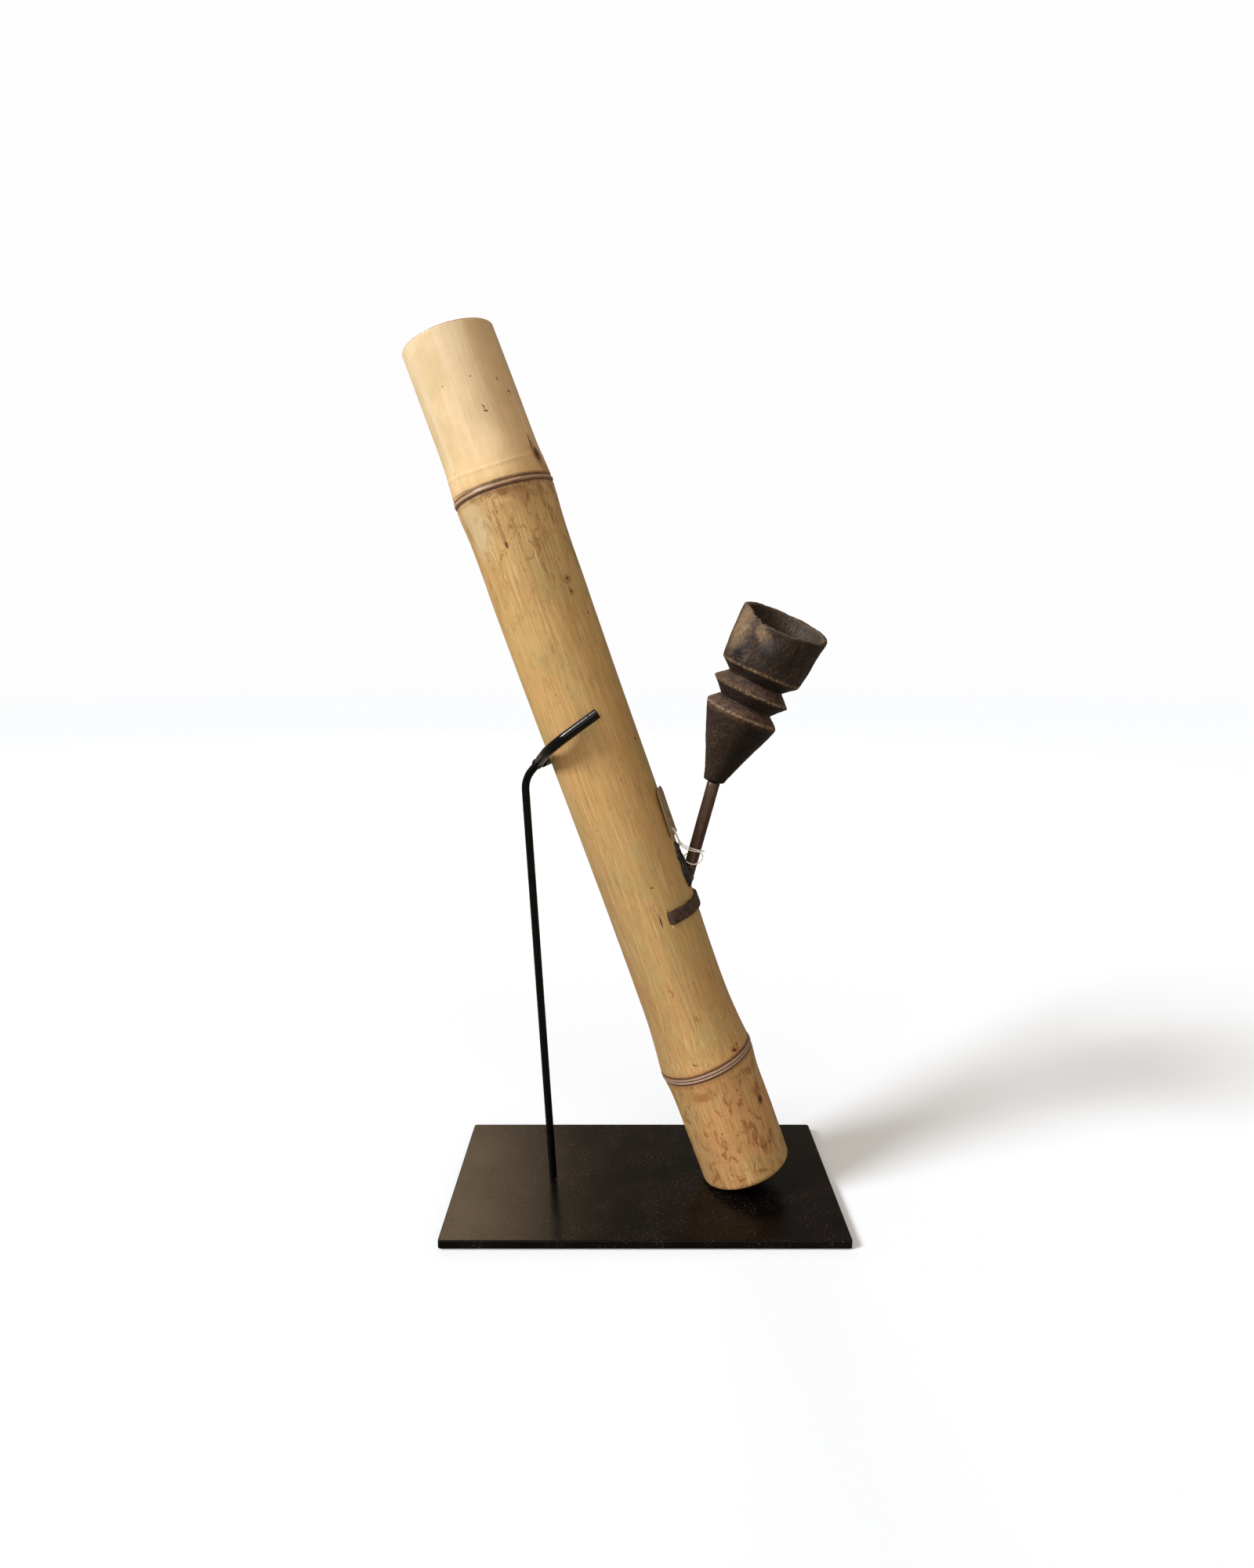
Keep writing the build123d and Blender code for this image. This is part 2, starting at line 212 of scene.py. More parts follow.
def roughly(points, size, seed=0.0):
    """Smooth noise, about -1 to 1, for each point (mm), with lumps about `size` across."""
    shift = Vector((seed * 17.3, seed * 5.1, seed * 9.7))
    return np.array([noise.noise(Vector(p) / size + shift) for p in points])


def place_mesh(mesh, body, replaced, place=Matrix.Identity(4)):
    """A piece that shows a mesh, rides on a body and stands for a CAD node."""
    piece = bpy.data.objects.new(mesh.name, mesh)
    bpy.context.scene.collection.objects.link(piece)
    piece.matrix_world = place
    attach(piece, body)
    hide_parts(replaced)
    return piece


def add_piece(name, vertices, faces, body, replaced, place=Matrix.Identity(4)):
    """The same from millimetre vertices and faces."""
    mesh = bpy.data.meshes.new(name)
    mesh.from_pydata([Vector(v) * MM for v in vertices], [], [tuple(int(i) for i in f) for f in faces])
    work = bmesh.new()
    work.from_mesh(mesh)
    bmesh.ops.recalc_face_normals(work, faces=work.faces)
    work.to_mesh(mesh)
    work.free()
    mesh.shade_smooth()
    return place_mesh(mesh, body, replaced, place)


def ring_faces(rows, columns, closed_rows=False):
    """Quads for a grid whose columns close on themselves."""
    faces = []
    last = rows if closed_rows else rows - 1
    for i in range(last):
        for j in range(columns):
            after, below = (j + 1) % columns, (i + 1) % rows
            faces.append((i * columns + j, i * columns + after, below * columns + after, below * columns + j))
    return faces


def capped(rings):
    """Vertices and faces of stacked rings, closed by a fan at each end."""
    rows, columns = len(rings), len(rings[0])
    vertices = [v for ring in rings for v in ring]
    faces = ring_faces(rows, columns)
    for row in (0, rows - 1):
        centre = np.mean(rings[row], axis=0)
        vertices.append(centre)
        first = row * columns
        faces += [(first + j, first + (j + 1) % columns, len(vertices) - 1) for j in range(columns)]
    return vertices, faces


# ---- building materials from nodes
def screen(colour):
    """A linear colour from the red, green and blue (0 to 255) that a screen shows; others stay as given."""
    if isinstance(colour, tuple) and len(colour) == 3:
        return tuple((v / 255) ** 2.2 for v in colour) + (1.0,)
    return colour


class Look:
    """A material under construction. Each method adds a node and returns its output; sizes are in mm."""

    def __init__(self, name, **values):
        self.material = bpy.data.materials.new(name)
        self.material.use_nodes = True
        self.tree = self.material.node_tree
        self.shader = self.tree.nodes["Principled BSDF"]
        self.place = self.add("TexCoord", {}).outputs["Object"]
        for socket, value in values.items():
            self.set(socket.replace("_", " "), value)

    def add(self, kind, sockets, **settings):
        made = self.tree.nodes.new("ShaderNode" + kind)
        for name, value in settings.items():
            setattr(made, name, value)
        for key, value in sockets.items():
            self.feed(made.inputs[key], value)
        return made

    def feed(self, socket, value):
        if isinstance(value, bpy.types.NodeSocket):
            self.tree.links.new(value, socket)
        else:
            socket.default_value = value

    def set(self, socket, value):
        self.feed(self.shader.inputs[socket], value)

    def stretched(self, x, y, z):
        return self.add("Mapping", {"Vector": self.place, "Scale": (x, y, z)}).outputs[0]

    def noise(self, size, detail=4.0, roughness=0.55, vector=None, distortion=0.0):
        sockets = {
            "Vector": vector or self.place, "Scale": 1000 / size, "Detail": detail,
            "Roughness": roughness, "Distortion": distortion,
        }
        return self.add("TexNoise", sockets).outputs[0]

    def grain(self, share, *settings):
        """Noise drawn out along Z, which counts for only a share of its distance."""
        return self.noise(*settings, vector=self.stretched(1, 1, share))

    def cells(self, size):
        return self.add("TexVoronoi", {"Vector": self.place, "Scale": 1000 / size}).outputs["Distance"]

    def between(self, value, low, high, start=0.0, end=1.0):
        """Goes smoothly from start to end as value goes from low to high."""
        sockets = {"Value": value, "From Min": low, "From Max": high, "To Min": start, "To Max": end}
        return self.add("MapRange", sockets, interpolation_type="SMOOTHSTEP").outputs[0]

    def math(self, operation, first, second):
        return self.add("Math", {0: first, 1: second}, operation=operation).outputs[0]

    def over(self, place, low, high, start=0.0, end=1.0):
        """The same for a place, with its limits in mm."""
        return self.between(place, low * MM, high * MM, start, end)

    def within(self, place, before, from_here, beyond, to_here):
        """1 for places between from_here and to_here (mm), fading to 0 at before and at beyond."""
        return self.both(self.over(place, before, from_here), self.over(place, beyond, to_here))

    def both(self, first, *others):
        """The product of its arguments."""
        for other in others:
            first = self.math("MULTIPLY", first, other)
        return first

    def most(self, first, *others):
        for other in others:
            first = self.math("MAXIMUM", first, other)
        return first

    def mix(self, amount, first, second):
        """From the first colour to the second: outputs, or red, green and blue from 0 to 255."""
        sockets = {0: amount, 6: screen(first), 7: screen(second)}
        return self.add("Mix", sockets, data_type="RGBA").outputs[2]

    def tint(self, amount, *colour):
        """Mixes an output, or red, green and blue, into the tone so far."""
        self.tone = self.mix(amount, self.tone, colour if len(colour) == 3 else colour[0])

    def ramp(self, value, stops):
        """Outputs that go through stops of (position, colour)."""
        made = self.add("ValToRGB", {"Fac": value})
        marks = made.color_ramp.elements
        while len(marks) < len(stops):
            marks.new(0.5)
        for mark, (position, colour) in zip(marks, stops):
            mark.position, mark.color = position, screen(colour)
        return made.outputs

    def axes(self):
        return self.add("SeparateXYZ", {"Vector": self.place}).outputs

    def off_axis(self):
        """The distance from the piece's own axis."""
        return self.add("VectorMath", {0: self.stretched(1, 1, 0)}, operation="LENGTH").outputs["Value"]

    def spot(self, centre, half, turn=(0, 0, 0), soft=0.35, wobble=None):
        """1 inside an ellipsoid (centre and half sizes in mm), fading to 0 at its edge."""
        sockets = {
            "Vector": wobble or self.place, "Location": Vector(centre) * MM,
            "Rotation": [radians(a) for a in turn], "Scale": Vector(half) * MM,
        }
        inside = self.add("Mapping", sockets, vector_type="TEXTURE").outputs[0]
        away = self.add("VectorMath", {0: inside}, operation="LENGTH").outputs["Value"]
        return self.between(away, 1 + soft, 1 - soft)

    def ring_line(self, z, height, half):
        """1 at one height, fading to 0 at `half` twice over on each side."""
        return self.within(z, height - 2 * half, height, height + 2 * half, height)

    def shaken(self, size, amount):
        """The place, pushed about by noise, so that shapes made with it have ragged edges."""
        sockets = {"Vector": self.place, "Scale": 1000 / size, "Detail": 3.0}
        push = self.add("TexNoise", sockets).outputs["Color"]
        centred = self.add("VectorMath", {0: push, 1: (0.5, 0.5, 0.5)}, operation="SUBTRACT").outputs[0]
        scaled = self.add("VectorMath", {0: centred, "Scale": amount * MM}, operation="SCALE").outputs[0]
        return self.add("VectorMath", {0: self.place, 1: scaled}, operation="ADD").outputs[0]

    def done(self, roughness, *layers):
        """Puts on the tone, the roughness and bump layers of (height, depth in mm), from broad to fine."""
        self.set("Base Color", self.tone)
        self.set("Roughness", roughness)
        normal = None
        for height, depth in layers:
            sockets = {"Height": height, "Distance": depth * MM, "Strength": 1.0}
            if normal:
                sockets["Normal"] = normal
            normal = self.add("Bump", sockets).outputs[0]
        self.set("Normal", normal)
        return self


def dress(look, *pieces):
    """Gives pieces, or CAD nodes by name, their finish."""
    for piece in pieces:
        materials = (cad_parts[piece] if isinstance(piece, str) else piece).data.materials
        materials.clear()
        materials.append(look.material)


# ---- the bamboo culm
SLIT_LENGTH, SLIT_SKIN_R = 9.2, 28.4
SLITS = [(SPARE_SLIT, 0.8, 2.0), (STRAP_FRONT, 1.7, 6.0), (STRAP_BACK, 1.7, 6.0)]  # degrees, opening, bluntness
SLIT_STEPS = (1.0, 1.7, 2.6, 3.8)  # columns beside a slit, in halves of its opening
# How far the culm's middle wanders to the right: (mm, distance along)
CULM_DRIFT = [
    (0.4, CULM_LOW), (0.3, 45), (-0.5, 105), (-0.8, 150), (-0.4, 200), (-0.3, 400),
    (0.1, 500), (-0.1, 525), (-0.6, CULM_HIGH),
]
BUD_AT = (485.0, 66.0)
RING_TILT = {LOWER_NODE: 2.2, UPPER_NODE: -1.3}


def from_ring(along, degrees, node):
    """How far above a joint's slanting ring a place is."""
    return along - node - RING_TILT[node] * np.sin(np.radians(degrees))


def culm_radius(along, degrees):
    """The culm's outer radius with its joints, bud, hollows and ripples."""
    radius = smooth_table(CULM_OUTLINE, along)
    turn = np.radians(degrees)
    lower = from_ring(along, degrees, LOWER_NODE)
    upper = from_ring(along, degrees, UPPER_NODE)
    ragged = 1 + 0.25 * np.sin(turn * 7 + 1) + 0.2 * np.sin(turn * 17)
    radius -= 0.9 * np.clip((along - 520) / 46, 0, 1)
    flare = 1 + 0.7 * np.clip((-degrees - 20) / 60, 0, 1)
    radius += 0.42 * bell(upper, 0.75 * flare) - 0.45 * bell(upper - 1.9 * flare, 0.7) * ragged
    radius -= 0.40 * bell(upper + 1.8 * flare, 0.8) + 0.12 * bell(upper + 6, 3)
    radius += 0.16 * bell(upper - 11 - 3 * np.sin(turn) ** 2, 1.0)
    radius += 0.42 * bell(lower - 0.95, 0.5) + 0.42 * bell(lower + 0.95, 0.5) - 0.40 * bell(lower, 0.35)
    radius -= 0.42 * bell(lower - 2.3, 0.7) * ragged + 0.38 * bell(lower + 2.4, 0.8)
    across = np.radians((degrees - BUD_AT[1] + 180) % 360 - 180) * radius
    rise = along - BUD_AT[0]
    radius += 0.7 * bell(np.hypot(across, rise * 0.8) - 3.0, 1.1) - 1.1 * bell(np.hypot(across, rise * 0.7), 2.2)
    fade = np.clip((along - BUD_AT[0] + 2) / 8, 0, 1) * np.clip((548 - along) / 45, 0, 1)
    for side in (-2.4, 2.2):
        radius -= 0.28 * fade * bell(across - side, 0.9)
    radius += 0.18 * fade * bell(across, 1.6)
    radius += 0.10 * np.sin(turn * 3 + along / 60) + 0.06 * np.sin(turn * 5 - along / 35)
    return radius


def half_angle(opening):
    """Half the degrees that an opening takes up round the culm."""
    return np.degrees(opening / 2 / SLIT_SKIN_R)


def culm_columns():
    """Degrees round the culm, with lines that follow the slits' edges."""
    fine = [(BUD_AT[1], 12, 0.8)] + [(angle, 2, 1.0) for angle, _, _ in SLITS]
    plain = spaced(-180, 180, 2.4, fine)[:-1]
    columns = []
    for angle, opening, _ in SLITS:
        half = half_angle(opening)
        columns += [angle + side * step * half for step in SLIT_STEPS for side in (-1, 1)] + [angle]
    margin = half_angle(SLIT_STEPS[-1])
    clear = [a for a in plain if all(abs(a - s[0]) > margin + 2 * half_angle(s[1]) for s in SLITS)]
    return np.array(sorted(clear + columns))


def pinch(along, columns):
    """Draws the columns beside each slit together towards its pointed ends."""
    turned = columns.copy()
    t = abs(along - STRAP_AT) / (SLIT_LENGTH / 2)
    for angle, opening, blunt in SLITS:
        gape = 1 - t**blunt if t < 1 else min(1.0, (t - 1) * 3)
        gape = max(gape, 0.06)
        steps = (columns - angle) / half_angle(opening)
        near = np.abs(steps) < SLIT_STEPS[-1]
        share = np.clip((np.abs(steps) - 1) / (SLIT_STEPS[-1] - 1), 0, 1)
        turned[near] = angle + (columns - angle)[near] * (gape + (1 - gape) * share[near])
    return turned


def culm_rows():
    """The culm's profile as (radius or None for its outer skin, distance along), from floor to floor."""
    slit_rows = list(np.linspace(STRAP_AT - SLIT_LENGTH / 2, STRAP_AT + SLIT_LENGTH / 2, 15))
    fine = [(LOWER_NODE, 7, 0.4), (UPPER_NODE + 4, 10, 0.4), (BUD_AT[0] + 2, 8, 0.6)]
    half_slit = SLIT_LENGTH / 2 + 0.3
    skin = [s for s in spaced(CULM_LOW + 0.4, CULM_HIGH - 0.4, 2.2, fine) if abs(s - STRAP_AT) > half_slit]
    skin = sorted(skin + slit_rows)
    ease = 0.35
    under, over = LOWER_NODE - FLOOR_T / 2, LOWER_NODE + FLOOR_T / 2
    top, low = UPPER_NODE + MOUTH_RING_T / 2, UPPER_NODE - MOUTH_RING_T / 2
    return [
        (0.05, under + 1.2), (12, under + 0.8), (21, under), (SKIRT_BORE, under - 2.5),
        *((SKIRT_BORE, s) for s in (70, 55, 40, 25, 14, CULM_LOW + ease)),
        (SKIRT_BORE + ease, CULM_LOW), (26.5, CULM_LOW + 0.05), (29.6 - ease, CULM_LOW),
        *((None, s) for s in skin),
        (28.5 - ease, CULM_HIGH), (26.0, CULM_HIGH - 0.05), (CULM_BORE + ease, CULM_HIGH),
        *((CULM_BORE, s) for s in (CULM_HIGH - ease, 555, 535, 515, 500, 488, top + 4)),
        (CULM_BORE - 1, top + 1), (20, top), (MOUTH_RING_R, top - 0.8),
        (MOUTH_RING_R, low + 0.8), (20, low), (CULM_BORE - 1, low - 1),
        *((CULM_BORE, s) for s in (low - 4, 440, 400, 360, 320, 280, 240, 215)),
        *((CULM_BORE, s) for s in reversed(slit_rows)),
        *((CULM_BORE, s) for s in (170, 140, 115, over + 2.5)),
        (21, over), (12, over - 0.6), (0.05, over - 1),
    ]


def make_culm():
    columns, rows = culm_columns(), culm_rows()
    rings = []
    for radius, along in rows:
        outer = radius is None
        turned = pinch(along, columns) if outer else columns
        around = culm_radius(along, turned) if outer else np.full(len(columns), float(radius))
        if not outer and radius in (MOUTH_RING_R, 20):
            around = around + 0.6 * np.sin(np.radians(columns) * 9) + 0.4 * np.sin(np.radians(columns) * 23)
        drift = smooth_table(CULM_DRIFT, along)
        angle = np.radians(turned)
        ring = np.stack([around * np.sin(angle) + drift, -around * np.cos(angle), np.full(len(angle), along)], 1)
        rings.append(ring)
    vertices, faces = capped(rings)
    vertices = np.array(vertices)
    outer_rows = [i for i, (radius, _) in enumerate(rows) if radius is None]
    skin = slice(outer_rows[0] * len(columns), (outer_rows[-1] + 1) * len(columns))
    lump = 0.05 * roughly(vertices[skin] * (1, 1, 0.12), 2.2, 1)
    vertices[skin] += outwards(vertices[skin]) * lump[:, None]
    faces = cut_slits(rows, columns, faces)
    return add_piece("bamboo_culm", vertices, faces, "pipe", "bamboo_tube", culm_frame)


def cut_slits(rows, columns, faces):
    """Opens each slit right through the wall, and lines it."""
    count = len(columns)
    low, high = STRAP_AT - SLIT_LENGTH / 2 - 0.01, STRAP_AT + SLIT_LENGTH / 2 + 0.01
    outer = [i for i, (r, s) in enumerate(rows) if r is None and low < s < high]
    inner = [i for i, (r, s) in enumerate(rows) if r == CULM_BORE and low < s < high][::-1]
    dropped, walls = set(), []

    def corners(k, j):
        """The outer and the inner corner at a row of the slit and a column."""
        return outer[k] * count + j, inner[k] * count + j

    for angle, opening, _ in SLITS:
        half = half_angle(opening) + 1e-6
        inside = [j for j in range(count) if abs(columns[j] - angle) < half]
        first, last = inside[0], inside[-1]
        lining = [((k, j), (k + 1, j)) for k in range(len(outer) - 1) for j in (first, last)]
        lining += [((k, j), (k, j + 1)) for k in (0, len(outer) - 1) for j in range(first, last)]
        for here, there in lining:
            walls.append((corners(*here)[0], corners(*there)[0], corners(*there)[1], corners(*here)[1]))
        for k in range(len(outer) - 1):
            for j in range(first, last):
                dropped.update([(outer[k], j), (inner[k + 1], j)])
    kept = [f for f in faces if len(f) == 3 or (f[0] // count, f[0] % count) not in dropped]
    return kept + walls


def on_skin(along, degrees, radius=29.0):
    """A place on the culm's skin, in the culm's own frame."""
    return (radius * sin(radians(degrees)), -radius * cos(radians(degrees)), along)


def bamboo_look():
    look = Look("bamboo_skin", Specular_IOR_Level=0.42)
    x, _, z = look.axes()
    slant = look.math("DIVIDE", x, 29.5 * MM)
    upper = look.math("SUBTRACT", look.math("ADD", look.both(slant, 1.3 * MM), z), UPPER_NODE * MM)
    lower = look.math("SUBTRACT", look.math("SUBTRACT", z, look.both(slant, 2.2 * MM)), LOWER_NODE * MM)
    above = look.over(upper, -1.5, 1.5)
    skirt = look.over(lower, 1.5, -1.5)
    # broad colour along the culm, each length between joints with its own tone, and darker towards the bottom as
    # painted shade where the light falls off
    look.tone = look.ramp(z, [
        (0.0, (196, 148, 98)), (0.085, (206, 156, 104)), (0.10, (196, 158, 104)),
        (0.14, (192, 155, 102)), (0.20, (198, 162, 108)), (0.31, (204, 167, 109)),
        (0.42, (208, 172, 112)), (0.462, (210, 174, 116)), (0.4733, (246, 212, 158)),
        (0.50, (255, 228, 182)), (0.5667, (255, 232, 190)),
    ])[0]
    below = look.math("SUBTRACT", 1.0, above)
    patches = look.grain(0.45, 24, 4.0, 0.6)
    calm = look.math("SUBTRACT", 1.0, look.both(above, 0.6))
    look.tint(look.both(look.between(patches, 0.44, 0.66, 0, 0.42), calm), 190, 146, 92)
    olive = look.both(look.between(look.noise(34, 3.0, 0.6), 0.46, 0.62, 0, 0.55), calm)
    look.tint(olive, 182, 164, 108)
    bands = look.grain(0.03, 6.5, 3.0, 0.6)
    look.tint(look.both(look.between(bands, 0.48, 0.66, 0, 0.35), calm), 214, 164, 108)
    look.tint(look.both(look.between(bands, 0.46, 0.34, 0, 0.45), above), 255, 238, 204)
    # painted shade: the top's right is tinted browner and darker, and the left of the lower lengths darker, where
    # less light falls
    look.tint(look.both(look.over(x, 2, 26, 0, 0.42), above), 206, 158, 98)
    painted_left_shade = look.both(look.over(x, -4, -26, 0, 0.62), look.between(z, 0.33, 0.20))
    look.tint(painted_left_shade, 158, 128, 86)
    # long fibres, strong between the joints and faint above the upper one
    hair = look.grain(0.03, 1.0, 3.0, 0.6)
    fibre = look.grain(0.012, 2.6, 3.0, 0.55)
    fine = look.grain(0.045, 0.55, 2.0, 0.6)
    under_joint = look.both(look.over(upper, -140, -4, 0.62, 1.0), below)
    strength = look.most(look.both(above, 0.2), look.both(skirt, 0.7), under_joint)
    lines = look.most(look.between(hair, 0.53, 0.68), look.both(look.between(fibre, 0.55, 0.72), 0.7))
    look.tint(look.both(lines, strength, 0.46), 146, 104, 58)
    dashed = look.both(look.between(fine, 0.56, 0.70), look.between(look.noise(13, 3.0, 0.6), 0.42, 0.58))
    look.tint(look.both(dashed, strength, 0.75), 112, 74, 42)
    pale_lines = look.both(look.between(hair, 0.47, 0.36), strength)
    look.tint(look.both(pale_lines, 0.42), 240, 212, 158)
    # brown mottling, heaviest just below the upper joint and in the skirt
    cloud = look.noise(6.5, 6.0, 0.72, look.stretched(1, 1, 0.55), 0.8)
    heavy = look.most(look.over(upper, -90, -6, 0.22, 1.0), look.both(skirt, 1.0))
    heavy = look.both(heavy, below)
    look.tint(look.both(look.between(cloud, 0.51, 0.63), look.both(heavy, 0.85)), 144, 96, 54)
    dashes = look.grain(0.3, 1.5, 3.0, 0.6)
    scattered = look.between(look.noise(16, 2.0), 0.48, 0.6)
    flecks = look.both(look.between(dashes, 0.66, 0.72), look.both(scattered, look.most(heavy, 0.4)))
    look.tint(look.both(flecks, 0.8), 104, 62, 34)
    stained = look.both(look.over(upper, -17, -4), look.over(x, -20, -2, 0.15, 1))
    stained = look.both(look.both(stained, below), look.between(look.noise(8, 4.0, 0.7), 0.38, 0.58))
    look.tint(look.both(stained, 0.75), 140, 94, 54)
    pale_left = look.spot(on_skin(455, -44), (9, 9, 16), (0, 0, -44), 0.7, look.shaken(9, 9))
    look.tint(look.both(pale_left, 0.6), 226, 208, 166)
    # the rings at the joints
    ragged = look.noise(2.0, 4.0, 0.65)
    ring_colours(look, upper, ragged, [
        (-6.0, (150, 108, 62), 0.0), (-2.8, (124, 84, 48), 0.6), (-1.7, (56, 34, 22), 0.95),
        (-0.9, (140, 106, 84), 0.85), (-0.1, (196, 164, 138), 0.85), (0.7, (132, 94, 70), 0.85),
        (1.6, (48, 28, 18), 1.0), (2.4, (110, 72, 42), 0.6), (3.6, (206, 160, 104), 0.2),
        (7.0, (214, 170, 112), 0.0),
    ], 1.3)
    ring_colours(look, lower, ragged, [
        (-6.0, (170, 116, 70), 0.0), (-3.0, (100, 62, 38), 0.6), (-2.3, (62, 38, 26), 0.9),
        (-1.5, (128, 102, 88), 0.85), (-0.9, (182, 158, 144), 0.85), (0.0, (90, 62, 48), 0.9),
        (0.9, (182, 160, 146), 0.85), (1.5, (124, 96, 82), 0.85), (2.2, (56, 34, 24), 1.0),
        (3.2, (140, 96, 60), 0.5), (6.0, (200, 150, 98), 0.0),
    ], 0.8)
    marks = skin_marks(look)
    look.tint(marks["stain"], 150, 98, 54)
    look.tint(marks["dark"], 74, 43, 25)
    # bare cut ends, the bore and the slits are duller and browner
    across = look.off_axis()
    inside = look.over(across, 26.8, 26.0)
    rims = look.most(look.over(z, CULM_HIGH - 0.9, CULM_HIGH - 0.2), look.over(z, 11.8, 11.1))
    pith = look.ramp(look.noise(0.9, 3.0, 0.6), [(0.35, (120, 80, 46)), (0.65, (196, 150, 98))])[0]
    look.tint(rims, pith)
    look.tint(inside, look.mix(look.noise(9, 4.0), (96, 62, 36), (150, 108, 66)))
    gloss = look.between(look.noise(12, 3.0), 0.35, 0.7, 0.36, 0.48)
    rough = look.mix(look.most(look.both(strength, 0.8), inside), gloss, (0.6, 0.6, 0.6, 1))
    relief = look.math("ADD", look.both(hair, strength), look.both(fibre, strength))
    pits = look.both(marks["dark"], -1.0)
    return look.done(
        rough,
        (look.noise(5, 3.0), 0.12), (relief, 0.2), (look.both(fine, strength), 0.10),
        (look.noise(0.5, 2.0), 0.015), (pits, 0.25),
    )


def ring_colours(look, offset, ragged, bands, wobble):
    """Bands of (mm above the ring, colour, strength) round a joint, with ragged edges."""
    low, high = bands[0][0] - 1, bands[-1][0] + 1
    shaken = look.math("ADD", offset, look.both(look.math("SUBTRACT", ragged, 0.5), wobble * MM))
    place = look.add("MapRange", {"Value": shaken, "From Min": low * MM, "From Max": high * MM}).outputs[0]
    stops = [((at - low) / (high - low), (*screen(colour)[:3], strength)) for at, colour, strength in bands]
    made = look.ramp(place, [(0.0, (*stops[0][1][:3], 0))] + stops + [(1.0, (*stops[-1][1][:3], 0))])
    look.tint(made["Alpha"], made["Color"])


# (along, degrees, half length along the grain, half width, slant in degrees)
DARK_MARKS = [
    (485.0, 65, 4.4, 3.4, 0), (493, 62.5, 5.0, 0.5, 4), (492, 69, 4.5, 0.5, -3), (523.4, 57, 0.5, 0.9, 30),
    (522.3, 58.5, 1.0, 0.3, 15), (514.2, 17, 0.5, 1.2, 25), (516.5, 16, 1.6, 0.3, -15), (530.7, 45, 1.2, 0.3, -20),
    (534.9, -21, 0.4, 0.3, 0), (534.8, 13, 0.3, 0.5, 10), (489.0, -48, 0.7, 0.3, 0), (484.0, -52, 0.3, 0.4, 0),
    (439.5, -13, 1.8, 0.9, 0), (402.9, 42, 0.8, 0.7, 0), (410.7, 43, 0.7, 1.0, 15), (388.0, 58, 0.8, 0.6, 0),
    (306.3, 64.6, 1.0, 0.8, 10), (99.0, 40, 0.8, 1.8, 20), (101.4, 47, 0.6, 1.3, 30), (100.4, -13, 0.3, 1.8, 25),
    (217.3, 11, 0.3, 1.1, 10), (59.1, 54.7, 2.8, 2.2, 0), (74.6, 24.7, 0.8, 0.5, 0), (50.9, -10.8, 0.5, 0.5, 0),
    (287.0, 20, 0.4, 0.3, 0), (262, -30, 0.3, 0.3, 0), (348, -20, 0.4, 0.3, 0), (150, 20, 0.4, 0.3, 0),
    (330, 150, 1.4, 1.0, 0), (430, -130, 1.0, 0.8, 0), (160, -150, 1.0, 1.0, 0), (250, 175, 0.9, 0.6, 0),
]
STAINS = [
    (478.0, 70, 5.0, 6.5, 20), (486.0, 64, 6.5, 4.6, 0), (447.0, -14, 9.0, 1.7, 0), (410.0, 43, 3.0, 2.4, 10),
    (436, 20, 7.0, 1.2, 0),
    (59.1, 54.7, 3.6, 2.8, 0), (99.5, 42, 2.0, 4.2, 20), (81.5, 64, 5.0, 4.0, 0), (78, -20, 3.0, 7.0, 0),
    (34, 34, 6.0, 2.2, 0), (150, -12, 5.0, 1.0, 0), (402.9, 42, 2.6, 1.6, 0), (128, 8, 2.4, 1.2, 0),
]


def skin_marks(look):
    """Where each kind of mark shows, and how strongly."""
    found = {}
    for kind, marks, ragged, strength in (
        ("dark", DARK_MARKS, look.shaken(1.3, 1.5), 0.9), ("stain", STAINS, look.shaken(3.0, 5.0), 0.55),
    ):
        shown = 0.0
        for along, degrees, length, width, slant in marks:
            half, turn = (width, 6.0, length), (0, slant, degrees)
            shown = look.most(shown, look.spot(on_skin(along, degrees), half, turn, 0.45, ragged))
        found[kind] = look.both(shown, strength)
    return found


# ---- stem, bowl and resin
def circle(columns):
    angle = np.linspace(0, tau, columns, endpoint=False)
    return np.sin(angle), -np.cos(angle)


def lathe(rows, columns, bend=None):
    """Rings for (radius, height) rows; bend(height) gives how far each ring is pushed along +X."""
    sine, minus_cosine = circle(columns)
    rings = []
    for radius, height in rows:
        push = bend(height) if bend else 0.0
        rings.append(np.stack([radius * sine + push, radius * minus_cosine, np.full(columns, float(height))], 1))
    return rings


def make_stem():
    top = STEM_OUT + TENON_L
    rows = [(STEM_BORE_R, STEM_IN), (3.4, STEM_IN), (STEM_R_IN, STEM_IN + 0.5)]
    rows += [(STEM_R_IN + 0.3 * (h - STEM_IN) / 140, h) for h in np.linspace(STEM_IN + 4, STEM_OUT - 0.4, 60)]
    rows += [(3.7, STEM_OUT), (TENON_R, STEM_OUT), (TENON_R, top - 0.4), (2.6, top)]
    rows += [(STEM_BORE_R, top), (STEM_BORE_R, STEM_IN + 2)]
    columns = 48
    rings = lathe(rows, columns)
    vertices = np.concatenate(rings)
    # only the outer skin is uneven, not the bore or the tenon
    skin = (np.abs(np.linalg.norm(vertices[:, :2], axis=1) - 3.95) < 0.3)[:, None]
    vertices += outwards(vertices) * skin * 0.10 * roughly(vertices * (1, 1, 0.25), 4.0, 3)[:, None]
    faces = ring_faces(len(rows), columns, closed_rows=True)
    return add_piece("stem", vertices, faces, "pipe", "pipe_stem", stem_frame)


